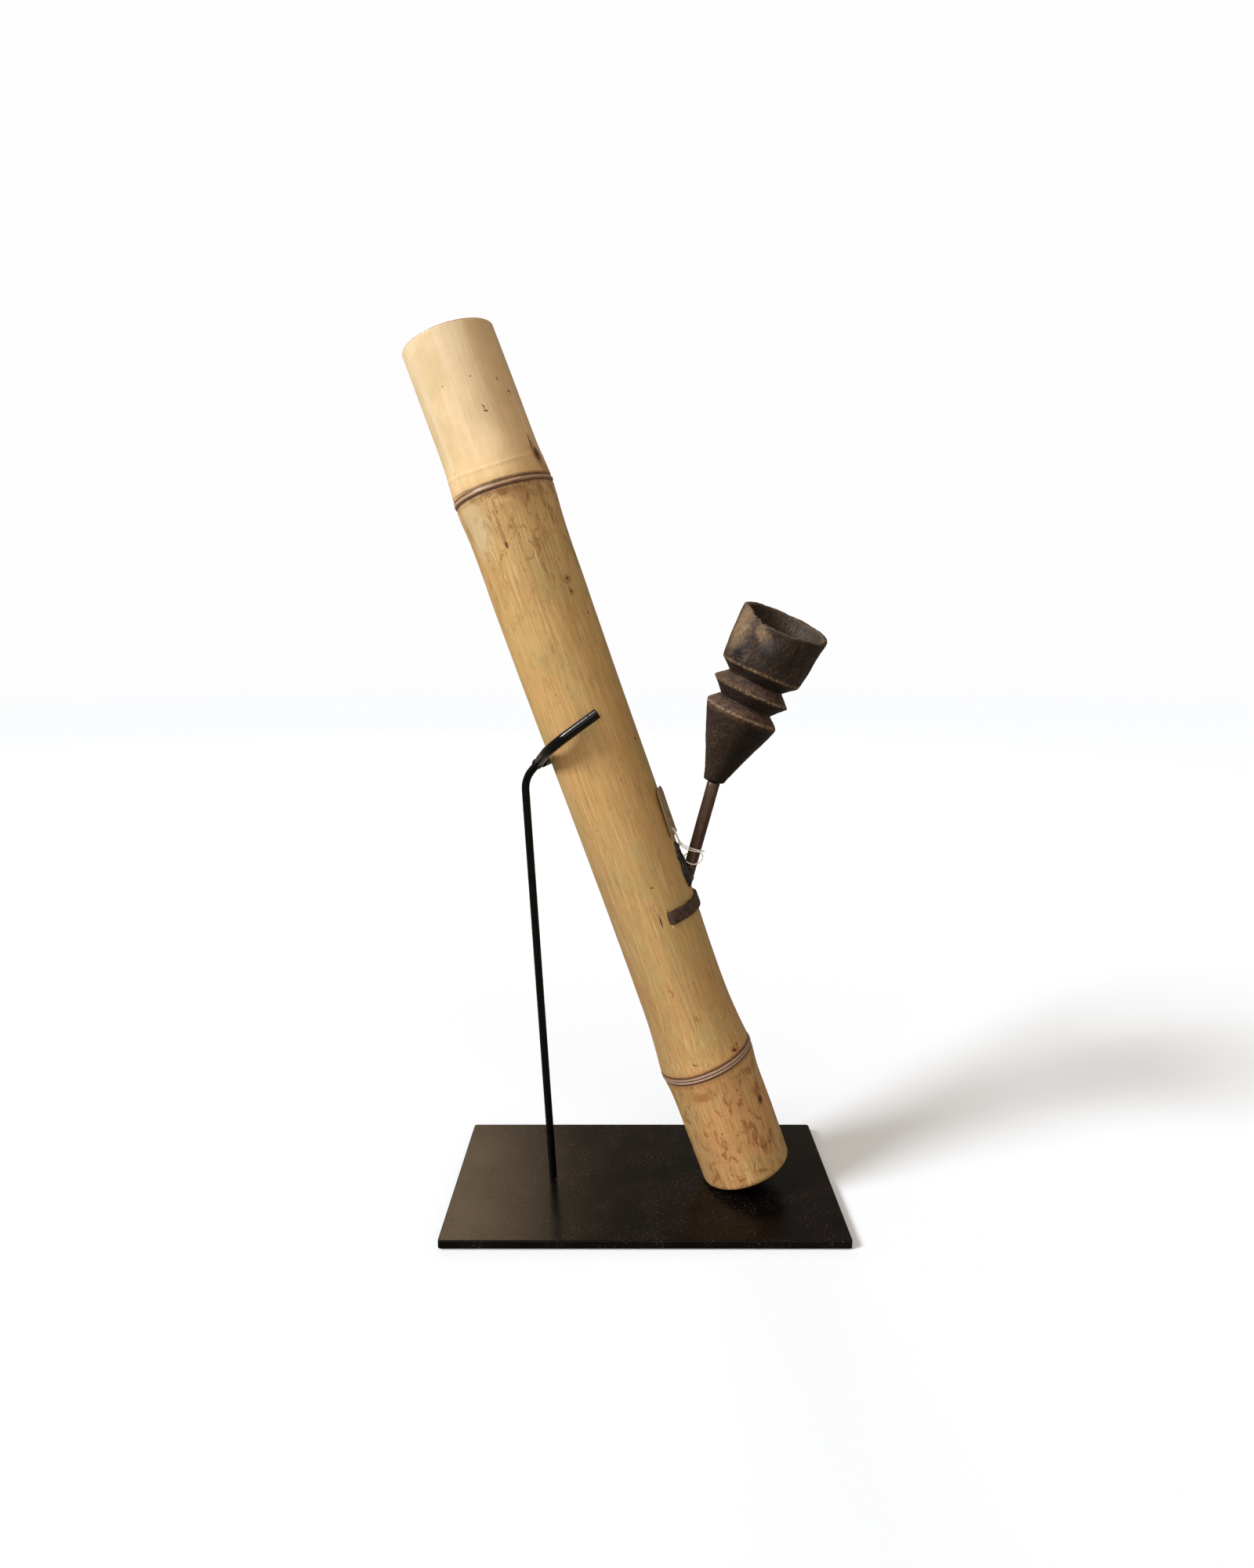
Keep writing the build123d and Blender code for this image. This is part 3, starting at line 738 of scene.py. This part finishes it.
def stem_look():
    look = Look("stem_cane", Specular_IOR_Level=0.5)
    grain = look.grain(0.06, 1.2, 4.0, 0.6)
    blotch = look.noise(6.0, 3.0, 0.6)
    look.tone = look.ramp(grain, [(0.3, (46, 31, 22)), (0.55, (80, 58, 43)), (0.75, (108, 84, 64))])[0]
    look.tint(look.between(blotch, 0.45, 0.65, 0, 0.6), 50, 35, 26)
    return look.done(look.between(blotch, 0.3, 0.7, 0.38, 0.6), (blotch, 0.10), (grain, 0.08))


BOWL_TOP = 106.4
BOWL_SKIN = [
    (3.2, -2.35), (5.4, -2.35), (6.6, -1.6), (7.2, 0.2), (7.6, 2.0), (12.9, 16.0), (18.0, 29.0), (21.6, 38.0),
    (22.9, 41.6), (23.5, 43.6), (23.6, 44.4), (23.0, 45.2), (20.4, 47.6), (17.2, 50.3),
    (17.0, 50.6), (17.4, 51.1), (20.8, 54.9), (24.2, 58.2), (25.0, 59.1), (24.4, 59.9), (21.0, 63.0),
    (18.0, 65.6), (17.8, 65.9), (18.2, 66.4), (21.6, 69.4), (24.9, 72.0), (25.5, 72.9), (25.9, 76.0),
    (26.7, 85.0), (27.4, 95.0), (27.9, 102.0), (28.0, 105.2),
]
BOWL_INNER = [(24.4, 105.4), (23.6, 98.0), (22.8, 88.0), (20.8, 84.5), (13.0, 82.6), (6.0, 81.2), (1.9, 81.0)]
# How far the bowl's rim is worn down, and at what angle from its front.
RIM_WEAR = [
    (-4.6, -180), (-4.2, -145), (-2.6, -115), (-1.0, -88), (0.0, -70), (1.2, -62), (3.6, -54), (4.2, -46),
    (5.6, -38), (6.0, -28), (6.4, -12), (6.0, 12), (5.0, 35), (3.2, 60), (0.4, 84), (-2.0, 112), (-4.0, 148),
    (-4.6, 180),
]


def refined(points, step):
    """Points along an outline, no more than `step` apart."""
    rows = [points[0]]
    for (r0, h0), (r1, h1) in zip(points, points[1:]):
        parts = max(1, int(np.ceil(np.hypot(r1 - r0, h1 - h0) / step)))
        rows += [(r0 + (r1 - r0) * k / parts, h0 + (h1 - h0) * k / parts) for k in range(1, parts + 1)]
    return rows


def bowl_bend(height):
    """The bowl's axis curves over towards +X above its waist."""
    return -0.052 * height + 0.000585 * height**2 - 1.1 * np.clip((height - 30) / 30, 0, 1)


def make_bowl():
    columns = 160
    rows = refined(BOWL_SKIN, 1.0) + [(27.4, 106.1), (26.2, BOWL_TOP), (25.0, 106.1)] + refined(BOWL_INNER, 1.2)
    rows += [(1.8, 60.0), (1.8, 30.0), (1.8, 14.0), (3.2, 13.2), (3.2, 6.0)]
    rings = lathe(rows, columns, bowl_bend)
    vertices = np.concatenate(rings)
    radius = np.repeat([r for r, _ in rows], columns)
    height = vertices[:, 2].copy()
    degrees = np.degrees(np.arctan2(vertices[:, 0] - bowl_bend(height), -vertices[:, 1]))
    worn = smooth_table(RIM_WEAR, degrees)
    torn = bell(degrees + 46, 16)
    worn += torn * (0.5 * np.sin(np.radians(degrees) * 37) + 0.25 * np.sin(np.radians(degrees) * 61 + 1))
    worn += 0.22 * np.sin(np.radians(degrees) * 9) + 0.08 * np.sin(np.radians(degrees) * 29 + 2)
    worn += 1.0 * bell(degrees - 74, 5)
    vertices[:, 2] -= worn * np.clip((height - 80) / (BOWL_TOP - 80), 0, 1) ** 1.2
    # the rings between cone and cup lean a little to the right; the end sits square on the stem
    vertices[:, 2] -= 0.045 * vertices[:, 0] * bell(height - 52, 22) * (radius > 4)
    seat = np.clip((5 - height) / 6, 0, 1)
    vertices[:, 2] += seat * (0.142 * vertices[:, 0] - 0.105 * vertices[:, 1])
    # uneven turning, knife facets and small knocks
    outward = outwards(vertices - np.stack([bowl_bend(height), 0 * height, 0 * height], 1))
    cut = np.clip((radius - 4) / 8, 0, 1)
    push = 0.40 * roughly(vertices, 16, 5) + 0.22 * roughly(vertices, 5, 6) + 0.12 * roughly(vertices, 1.8, 7)
    edges = bell(height - 44.2, 1.6) + bell(height - 59.1, 1.6) + bell(height - 72.8, 1.2)
    push -= edges * np.clip(roughly(vertices, 3.0, 8), 0, 1) * 1.5
    push -= 0.8 * torn * np.clip((height - 92) / 12, 0, 1) * (radius > 25.5)
    push[radius < 4] = 0
    vertices += outward * (cut * push)[:, None]
    vertices[:, 2] += cut * 0.35 * roughly(vertices, 9, 9)
    faces = ring_faces(len(rows), columns, closed_rows=True)
    bowl = add_piece("bowl", vertices, faces, "bowl", "pipe_bowl", bowl_frame)
    lip = bowl.data.attributes.new("lip", "FLOAT", "POINT")
    lip.data.foreach_set("value", bell(height - BOWL_TOP, 1.0) * (radius > 20))
    return bowl


KNOT_PLACE, KNOT_FACES = (-20.5, -17.0, 77.5), -50.0


def bowl_look():
    look = Look("bowl_wood", Specular_IOR_Level=0.35)
    x, _, z = look.axes()
    curly = look.shaken(14, 14)
    grain = look.noise(1.0, 5.0, 0.7, look.add("Mapping", {"Vector": curly, "Scale": (1, 1, 0.34)}).outputs[0])
    broad = look.grain(0.6, 12, 5.0, 0.65)
    grime = look.noise(4.0, 5.0, 0.7)
    look.tone = look.ramp(grain, [
        (0.32, (26, 19, 15)), (0.47, (46, 36, 30)), (0.58, (70, 56, 47)), (0.72, (104, 86, 70)),
    ])[0]
    look.tint(look.between(broad, 0.42, 0.62, 0, 0.75), 30, 22, 18)
    # the cone is darker and speckled on its left; on its right it is painted nearly black as shade
    cone = look.over(z, 44.5, 42)
    look.tint(look.both(cone, 0.5), 38, 25, 17)
    look.tint(look.both(cone, look.over(x, -6, 8, 0, 0.8)), 14, 8, 5)
    # the faces that look up are smoother and redder, and painted lighter as lit faces; those that look down are
    # painted dark as shade
    lit_shelf = look.most(look.within(z, 44.4, 45.6, 51, 49), look.within(z, 59.2, 60.4, 66.4, 64.4))
    look.tint(look.both(lit_shelf, 0.72), look.mix(look.between(grime, 0.4, 0.6), (66, 48, 41), (104, 83, 70)))
    under = look.most(look.within(z, 51, 52, 57.5, 56), look.within(z, 66, 67, 72, 70.5))
    look.tint(look.both(under, 0.6), 34, 25, 20)
    band = look.within(z, 40, 42.5, 45, 44)
    look.tint(look.both(band, look.between(grime, 0.38, 0.6, 0.1, 0.6)), 98, 70, 46)
    # the collars' edges show thin pale lines, partly worn paler wood and partly painted highlight
    edge = look.most(*(look.ring_line(z, at, half) for at, half in ((72.9, 0.8), (44.6, 0.7), (59.2, 0.7))))
    ticks = look.between(look.noise(1.4, 4.0, 0.7), 0.44, 0.58, 0.1, 0.9)
    look.tint(look.both(edge, ticks), 158, 132, 104)
    # the left of the cup is worn to tan wood, with a cracked knot low down and a grey patch beside it
    tan = look.most(
        look.spot((-25, -11, 95), (7.5, 10, 15), (0, 0, -60), 0.6, look.shaken(6, 9)),
        look.spot((-12, -24, 94), (7, 8, 3.4), (0, 35, -25), 0.6, look.shaken(4, 6)),
    )
    look.tint(look.both(tan, look.between(grain, 0.36, 0.62, 0.3, 0.8)), 152, 126, 97)
    grey = look.spot((-6, -26, 90), (6, 8, 4.5), (0, 10, -12), 0.6, look.shaken(5, 6))
    look.tint(look.both(grey, 0.55), 62, 60, 64)
    knot = look.spot(KNOT_PLACE, (5.2, 6.0, 4.4), (0, 0, KNOT_FACES), 0.4, look.shaken(3, 3))
    look.tint(look.both(knot, 0.85), 44, 38, 39)
    cracks = 0.0
    for slant, reach in ((12, 4.2), (62, 3.6), (104, 4.4), (152, 3.4)):
        line = look.spot(KNOT_PLACE, (0.55, 7, reach), (0, slant, KNOT_FACES), 0.5, look.shaken(1.6, 1.2))
        cracks = look.most(cracks, line)
    look.tint(look.both(cracks, 0.95), 12, 9, 8)
    # pale specks in the wood, made stronger on the left as painted light where the light falls
    specks = look.both(look.between(look.noise(0.7, 2.0), 0.60, 0.70), look.between(look.noise(8, 2.0), 0.4, 0.6))
    left = look.over(x, 4, -10, 0.25, 0.75)
    look.tint(look.both(specks, left), 140, 118, 90)
    across = look.off_axis()
    cup = look.both(look.over(z, 76, 78), look.over(across, 25.4, 24.6))
    char = look.ramp(look.noise(0.9, 5.0, 0.8), [
        (0.38, (26, 21, 18)), (0.56, (70, 60, 52)), (0.72, (134, 120, 102)),
    ])[0]
    look.tint(cup, char)
    lip = look.add("Attribute", {}, attribute_name="lip").outputs["Fac"]
    look.tint(look.both(lip, look.between(grime, 0.4, 0.6, 0.1, 0.7)), 118, 98, 80)
    gloss = look.between(grime, 0.3, 0.7, 0.5, 0.78)
    return look.done(gloss, (grime, 0.45), (grain, 0.42), (look.both(cracks, -1.0), 0.9))


def blob_mesh(name, balls, voxel):
    """One smooth lumpy skin over overlapping balls of (centre, half sizes)."""
    work = bmesh.new()
    for centre, half in balls:
        place = Matrix.Translation(Vector(centre) * MM) @ Matrix.Diagonal((*(Vector(half) * MM), 1))
        bmesh.ops.create_icosphere(work, subdivisions=3, radius=1.0, matrix=place)
    mesh = bpy.data.meshes.new("balls")
    work.to_mesh(mesh)
    work.free()
    lump = bpy.data.objects.new("balls", mesh)
    bpy.context.scene.collection.objects.link(lump)
    remesh = lump.modifiers.new("remesh", "REMESH")
    remesh.mode, remesh.voxel_size = "VOXEL", voxel * MM
    soften = lump.modifiers.new("soften", "SMOOTH")
    soften.factor, soften.iterations = 0.7, 4
    view = bpy.context.evaluated_depsgraph_get()
    work = bmesh.new()
    work.from_mesh(bpy.data.meshes.new_from_object(lump.evaluated_get(view)))
    bpy.data.objects.remove(lump)
    skin = bpy.data.meshes.new(name)
    work.to_mesh(skin)
    work.free()
    skin.shade_smooth()
    return skin


def make_resin():
    """The seal round the stem, with a strip smeared up the culm's skin beside it."""
    balls = []
    for k in range(18):
        turn = tau * k / 9
        wide, high = (5.6, 213.2) if k < 9 else (4.6, 216.6)
        lumpy = 1 + 0.18 * sin(k * 2.3)
        centre = STEM_ENTRY + Vector((wide * 0.6 * sin(turn), -wide * 0.8 * cos(turn), high - STEM_ENTRY.z))
        centre.x += 0.26 * (centre.z - STEM_ENTRY.z) - 0.5 * wide * 0.6 * sin(turn) * (sin(turn) > 0)
        balls.append((centre, (2.7 * lumpy, 2.7 * lumpy, 2.6 * lumpy)))
    for k in range(34):
        along = 208.5 + 25.5 * k / 33
        size = 2.5 - 0.9 * k / 33 + 0.45 * sin(k * 1.9) * sin(k * 0.7)
        degrees = 74 + 3.0 * sin(k * 1.3) + 1.5 * sin(k * 0.45)
        centre = (culm_frame @ (Vector(on_skin(along, degrees, 28.5)) * MM)) / MM
        balls.append((centre, (size * 0.95, size * 1.15, size * 1.5)))
    return place_mesh(blob_mesh("resin", balls, 0.5), "pipe", "resin_seal")


def resin_look():
    look = Look("resin_black", Specular_IOR_Level=0.55)
    lumps = look.noise(2.4, 3.0, 0.5)
    fine = look.noise(0.7, 2.0)
    look.tone = look.mix(lumps, (12, 12, 14), (38, 34, 34))
    return look.done(look.between(fine, 0.3, 0.7, 0.16, 0.42), (lumps, 0.7), (fine, 0.10))


# ---- strap, tag and string
def strap_path():
    """(degrees, radius, how flat it lies) along the strap: out of one slit, round the culm and in."""
    hug = STRAP_SKIN_R + STRAP_T / 2 + 0.15
    path = [(STRAP_FRONT, r) for r in (23.4, 25.0, 26.6, 27.8)]
    path += [(STRAP_FRONT + 0.5, 28.6), (STRAP_FRONT + 1.8, hug + 0.25), (STRAP_FRONT + 4, hug + 0.3)]
    path += [(a, hug + 0.08 * sin(a / 7)) for a in np.linspace(STRAP_FRONT + 7, STRAP_BACK - 7, 52)]
    path += [(STRAP_BACK - 4, hug + 0.2), (STRAP_BACK - 1.8, hug + 0.15), (STRAP_BACK - 0.5, 28.6)]
    path += [(STRAP_BACK, r) for r in (27.8, 26.6, 25.0, 23.4)]
    return path


def make_strap():
    path = strap_path()
    line = np.array([(r * sin(radians(a)), -r * cos(radians(a))) for a, r in path])
    tangent = np.gradient(line, axis=0)
    tangent /= np.linalg.norm(tangent, axis=1)[:, None]
    normal = np.stack([tangent[:, 1], -tangent[:, 0]], 1)
    half_w, half_t = STRAP_W / 2, STRAP_T / 2
    across = [-1, -0.97, -0.8, -0.5, -0.2, 0.1, 0.4, 0.7, 0.9, 0.985, 1]
    skin = [0.35, 0.8, 1, 1, 1, 1, 1, 1, 0.9, 0.7, 0.3]
    outline = list(zip(across, skin)) + [(a, -t) for a, t in list(zip(across, skin))[::-1]]
    rings = []
    travelled = travel(line)
    for k, centre in enumerate(line):
        flat = np.clip(min(travelled[k], travelled[-1] - travelled[k]) / 6 - 0.6, 0, 1)
        ring = []
        for a, t in outline:
            wave = noise.noise(Vector((travelled[k] / 5, a, 2.0)))
            fray = noise.noise(Vector((travelled[k] / 1.1, a, 7.0)))
            lump = noise.noise(Vector((travelled[k] / 2, a * 3, 4)))
            height = STRAP_AT + a * half_w * (1 + 0.06 * wave) + flat * (0.35 * fray * abs(a) ** 3 + 0.3 * wave)
            depth = t * half_t * (1 - 0.12 * flat * fray) + flat * 0.12 * lump
            ring.append((*(centre + normal[k] * depth), height))
        rings.append(np.array(ring))
    vertices, faces = capped(rings)
    return add_piece("hide_strap", vertices, faces, "pipe", "strap", culm_frame)


def strap_look():
    look = Look("dry_hide", Specular_IOR_Level=0.3)
    z = look.axes()[2]
    pit = look.cells(1.3)
    patches = look.noise(4, 4.0, 0.65)
    look.tone = look.ramp(patches, [(0.3, (42, 31, 26)), (0.55, (80, 62, 52)), (0.75, (120, 101, 88))])[0]
    edge = look.most(*(look.over(z, STRAP_AT + 2.9 * side, STRAP_AT + 4.3 * side) for side in (1, -1)))
    look.tint(look.both(edge, 0.5), 54, 32, 24)
    specks = look.between(look.noise(0.8, 2.0), 0.62, 0.7)
    look.tint(look.both(specks, 0.7), 140, 124, 108)
    gloss = look.between(patches, 0.3, 0.7, 0.5, 0.8)
    return look.done(gloss, (patches, 0.4), (look.between(pit, 0.0, 0.45), 0.25), (look.noise(0.4, 3.0), 0.08))


def make_tag():
    """The card: x runs up the culm from its lower edge, y across, z outwards. It curls a little."""
    half = TAG_W / 2
    rim = [(0, -half), (0, half)]
    for centre_y, start in ((half - TAG_ROUND, 90), (-half + TAG_ROUND, 0)):
        for k in range(9):
            a = radians(start - 90 * k / 8)
            rim.append((TAG_L - TAG_ROUND + TAG_ROUND * cos(a), centre_y + TAG_ROUND * sin(a)))
    work = bmesh.new()
    edges = []
    hole = [(TAG_HOLE_IN + TAG_HOLE_R * cos(tau * k / 24), TAG_HOLE_R * sin(tau * k / 24)) for k in range(24)]
    for loop in (rim, hole):
        corners = [work.verts.new((x, y, 0)) for x, y in loop]
        edges += [work.edges.new((a, b)) for a, b in zip(corners, corners[1:] + corners[:1])]
    bmesh.ops.triangle_fill(work, edges=edges, use_beauty=True)
    for _ in range(3):
        long_edges = [e for e in work.edges if e.calc_length() > 2.0]
        bmesh.ops.subdivide_edges(work, edges=long_edges, cuts=1, use_grid_fill=True)
    bmesh.ops.triangulate(work, faces=work.faces)
    bmesh.ops.recalc_face_normals(work, faces=work.faces)
    made = bmesh.ops.extrude_face_region(work, geom=work.faces[:])["geom"]
    bmesh.ops.translate(work, verts=[v for v in made if isinstance(v, bmesh.types.BMVert)], vec=(0, 0, TAG_T))
    for v in work.verts:
        u = (v.co.x / TAG_L) ** 2
        v.co.z += 0.55 * u + 0.25 * sin(v.co.y / 6) * u
    bmesh.ops.scale(work, vec=(MM, MM, MM), verts=work.verts)
    bmesh.ops.recalc_face_normals(work, faces=work.faces)
    mesh = bpy.data.meshes.new("swing_tag")
    work.to_mesh(mesh)
    work.free()
    mesh.shade_flat()
    turn = radians(TAG_TURN)
    outward = Vector((sin(turn), -cos(turn), 0))
    upward = Vector((0, 0, 1))
    side = outward.cross(upward)
    axes = Matrix((upward, side, outward)).transposed().to_4x4()
    axes.translation = (outward * TAG_R + upward * TAG_LOW) * MM
    return place_mesh(mesh, "tag", "tag", culm_frame @ axes)


def tag_look():
    look = Look("buff_card", Specular_IOR_Level=0.25)
    fibres = look.noise(0.5, 4.0, 0.65)
    soil = look.noise(9, 4.0, 0.6)
    look.tone = look.mix(look.between(soil, 0.4, 0.7, 0.0, 0.8), (164, 142, 112), (126, 106, 80))
    look.tint(look.both(fibres, 0.25), 206, 192, 168)
    return look.done(0.8, (soil, 0.10), (fibres, 0.03))


def string_line():
    """Points along the string's middle, read from its NURBS route."""
    data = bpy.data.curves.new("tie_route", "CURVE")
    data.dimensions = "3D"
    line = data.splines.new("NURBS")
    line.points.add(len(STRING_ROUTE) - 1)
    for point, place in zip(line.points, STRING_ROUTE):
        point.co = (*(Vector(place) * MM), 1)
    line.order_u = 3
    line.use_endpoint_u = True
    line.resolution_u = 16
    route = bpy.data.objects.new("tie_route", data)
    middle = [v.co.copy() for v in bpy.data.meshes.new_from_object(route).vertices]
    bpy.data.objects.remove(route)
    return middle


def untwisted(points, closed=False):
    """Each point of a line with two directions across it that don't twist along it."""
    points = np.array(points)
    if closed:
        tangents = np.roll(points, -1, axis=0) - np.roll(points, 1, axis=0)
    else:
        tangents = np.gradient(points, axis=0)
    side = Vector((0.3, 0.8, 0.5))
    for point, tangent in zip(points, tangents):
        ahead = Vector(tangent).normalized()
        side = (side - ahead * side.dot(ahead)).normalized()
        yield Vector(point), side, ahead.cross(side)


def swept(points, radius, columns, closed=False):
    """Rings of a round strand along points."""
    rings, turns = [], np.linspace(0, tau, columns, endpoint=False)
    for k, (point, side, other) in enumerate(untwisted(points, closed)):
        size = radius * (1 + 0.10 * sin(k * 0.9) * sin(k * 0.23))
        rings.append([point + (side * cos(a) + other * sin(a)) * size for a in turns])
    return rings


def strands(middle, strand_r, offset, pitch, count=2, columns=8):
    """Vertices and faces of strands laid round each other along a line, all in millimetres."""
    middle = np.array(middle)
    travelled = travel(middle)
    places = np.linspace(0, travelled[-1], int(travelled[-1] / (pitch / 9)))
    line = np.stack([np.interp(places, travelled, middle[:, i]) for i in range(3)], 1)
    vertices, faces = [], []
    for strand in range(count):
        path = []
        for place, (point, side, other) in zip(places, untwisted(line)):
            turn = tau * (place / pitch + strand / count)
            path.append(point + (side * cos(turn) + other * sin(turn)) * offset)
        made, quads = capped([np.array(ring) for ring in swept(path, strand_r, columns)])
        faces += [tuple(i + len(vertices) for i in face) for face in quads]
        vertices += [tuple(v) for v in made]
    return vertices, faces


def make_string():
    middle = string_line()
    vertices, faces = strands([v / MM for v in middle], STRING_D * 0.27, STRING_D * 0.23, 2.6)
    string = add_piece("tag_tie", vertices, faces, "pipe", "tag_string")
    knot = make_knot()
    return string, knot


def make_knot():
    """An overhand knot: a trefoil of the same string, pulled small."""
    size, strand_r, columns = 0.42, 0.42, 10
    loop = [
        KNOT_AT + Vector((sin(t) + 1.4 * sin(2 * t), cos(t) - 1.4 * cos(2 * t), -0.85 * sin(3 * t))) * size
        for t in np.linspace(0, tau, 72, endpoint=False)
    ]
    vertices = [v for ring in swept(loop, strand_r, columns, closed=True) for v in ring]
    faces = ring_faces(len(loop), columns, closed_rows=True)
    return add_piece("tie_knot", vertices, faces, "pipe", "string_knot")


def string_look():
    look = Look("cotton_string", Specular_IOR_Level=0.2, Sheen_Weight=0.2)
    lint = look.noise(0.5, 3.0, 0.6)
    fuzz = look.noise(0.25, 3.0)
    look.tone = look.mix(look.between(lint, 0.3, 0.6), (226, 222, 214), (254, 253, 250))
    return look.done(0.85, (lint, 0.10), (fuzz, 0.05))


# ---- finishes for the CAD's own metalwork
def plate_look():
    look = Look("black_steel", Specular_IOR_Level=0.3, IOR=1.35)
    grit = look.noise(0.7, 3.0, 0.7)
    cloud = look.noise(40, 4.0, 0.6)
    specks = look.both(look.between(look.noise(0.8, 1.0), 0.66, 0.72), look.between(look.noise(20, 2.0), 0.40, 0.6))
    look.tone = look.mix(look.between(cloud, 0.4, 0.65), (10, 8, 8), (20, 16, 15))
    look.tint(look.both(specks, 0.45), 112, 104, 98)
    return look.done(look.between(cloud, 0.3, 0.7, 0.22, 0.27), (look.noise(60, 2.0), 0.15), (grit, 0.045))


def rod_look():
    look = Look("black_rod", Specular_IOR_Level=0.22)
    ripple = look.grain(0.3, 6, 3.0, 0.6)
    look.tone = look.mix(ripple, (3, 3, 4), (9, 9, 11))
    gloss = look.between(look.noise(5, 3.0), 0.3, 0.7, 0.22, 0.32)
    return look.done(gloss, (ripple, 0.05), (look.noise(0.8, 2.0), 0.006))


def tubing_look():
    """Clear tubing closely over a black rod shows as black with a wet shine."""
    look = Look("clear_tubing", Specular_IOR_Level=0.32)
    haze = look.noise(3, 3.0)
    look.tone = look.mix(haze, (5, 5, 7), (13, 13, 16))
    return look.done(look.between(haze, 0.3, 0.7, 0.07, 0.16), (haze, 0.06))


def screw_look():
    look = Look("plain_steel", Metallic=1.0)
    turned = look.noise(0.4, 3.0)
    look.tone = look.mix(turned, (150, 150, 150), (190, 190, 190))
    return look.done(0.35, (turned, 0.02))


def felt_look():
    look = Look("black_felt", Specular_IOR_Level=0.1)
    nap = look.noise(0.6, 4.0, 0.7)
    look.tone = look.mix(nap, (20, 20, 20), (48, 47, 46))
    return look.done(0.95, (nap, 0.25))


# ---- put together
make_camera()
dress(string_look(), *make_string())
make_studio()
dress(bamboo_look(), make_culm())
dress(stem_look(), make_stem())
dress(bowl_look(), make_bowl())
dress(resin_look(), make_resin())
dress(strap_look(), make_strap())
dress(tag_look(), make_tag())
dress(rod_look(), "upright_rod", "rear_prong", "braze_fillet", "foot_peg")
dress(plate_look(), "base_plate")
dress(felt_look(), "base_felt")
dress(tubing_look(), "front_prong_sleeve", "rear_prong_sleeve")
dress(screw_look(), "upright_screw", "peg_screw")

bpy.context.view_layer.update()
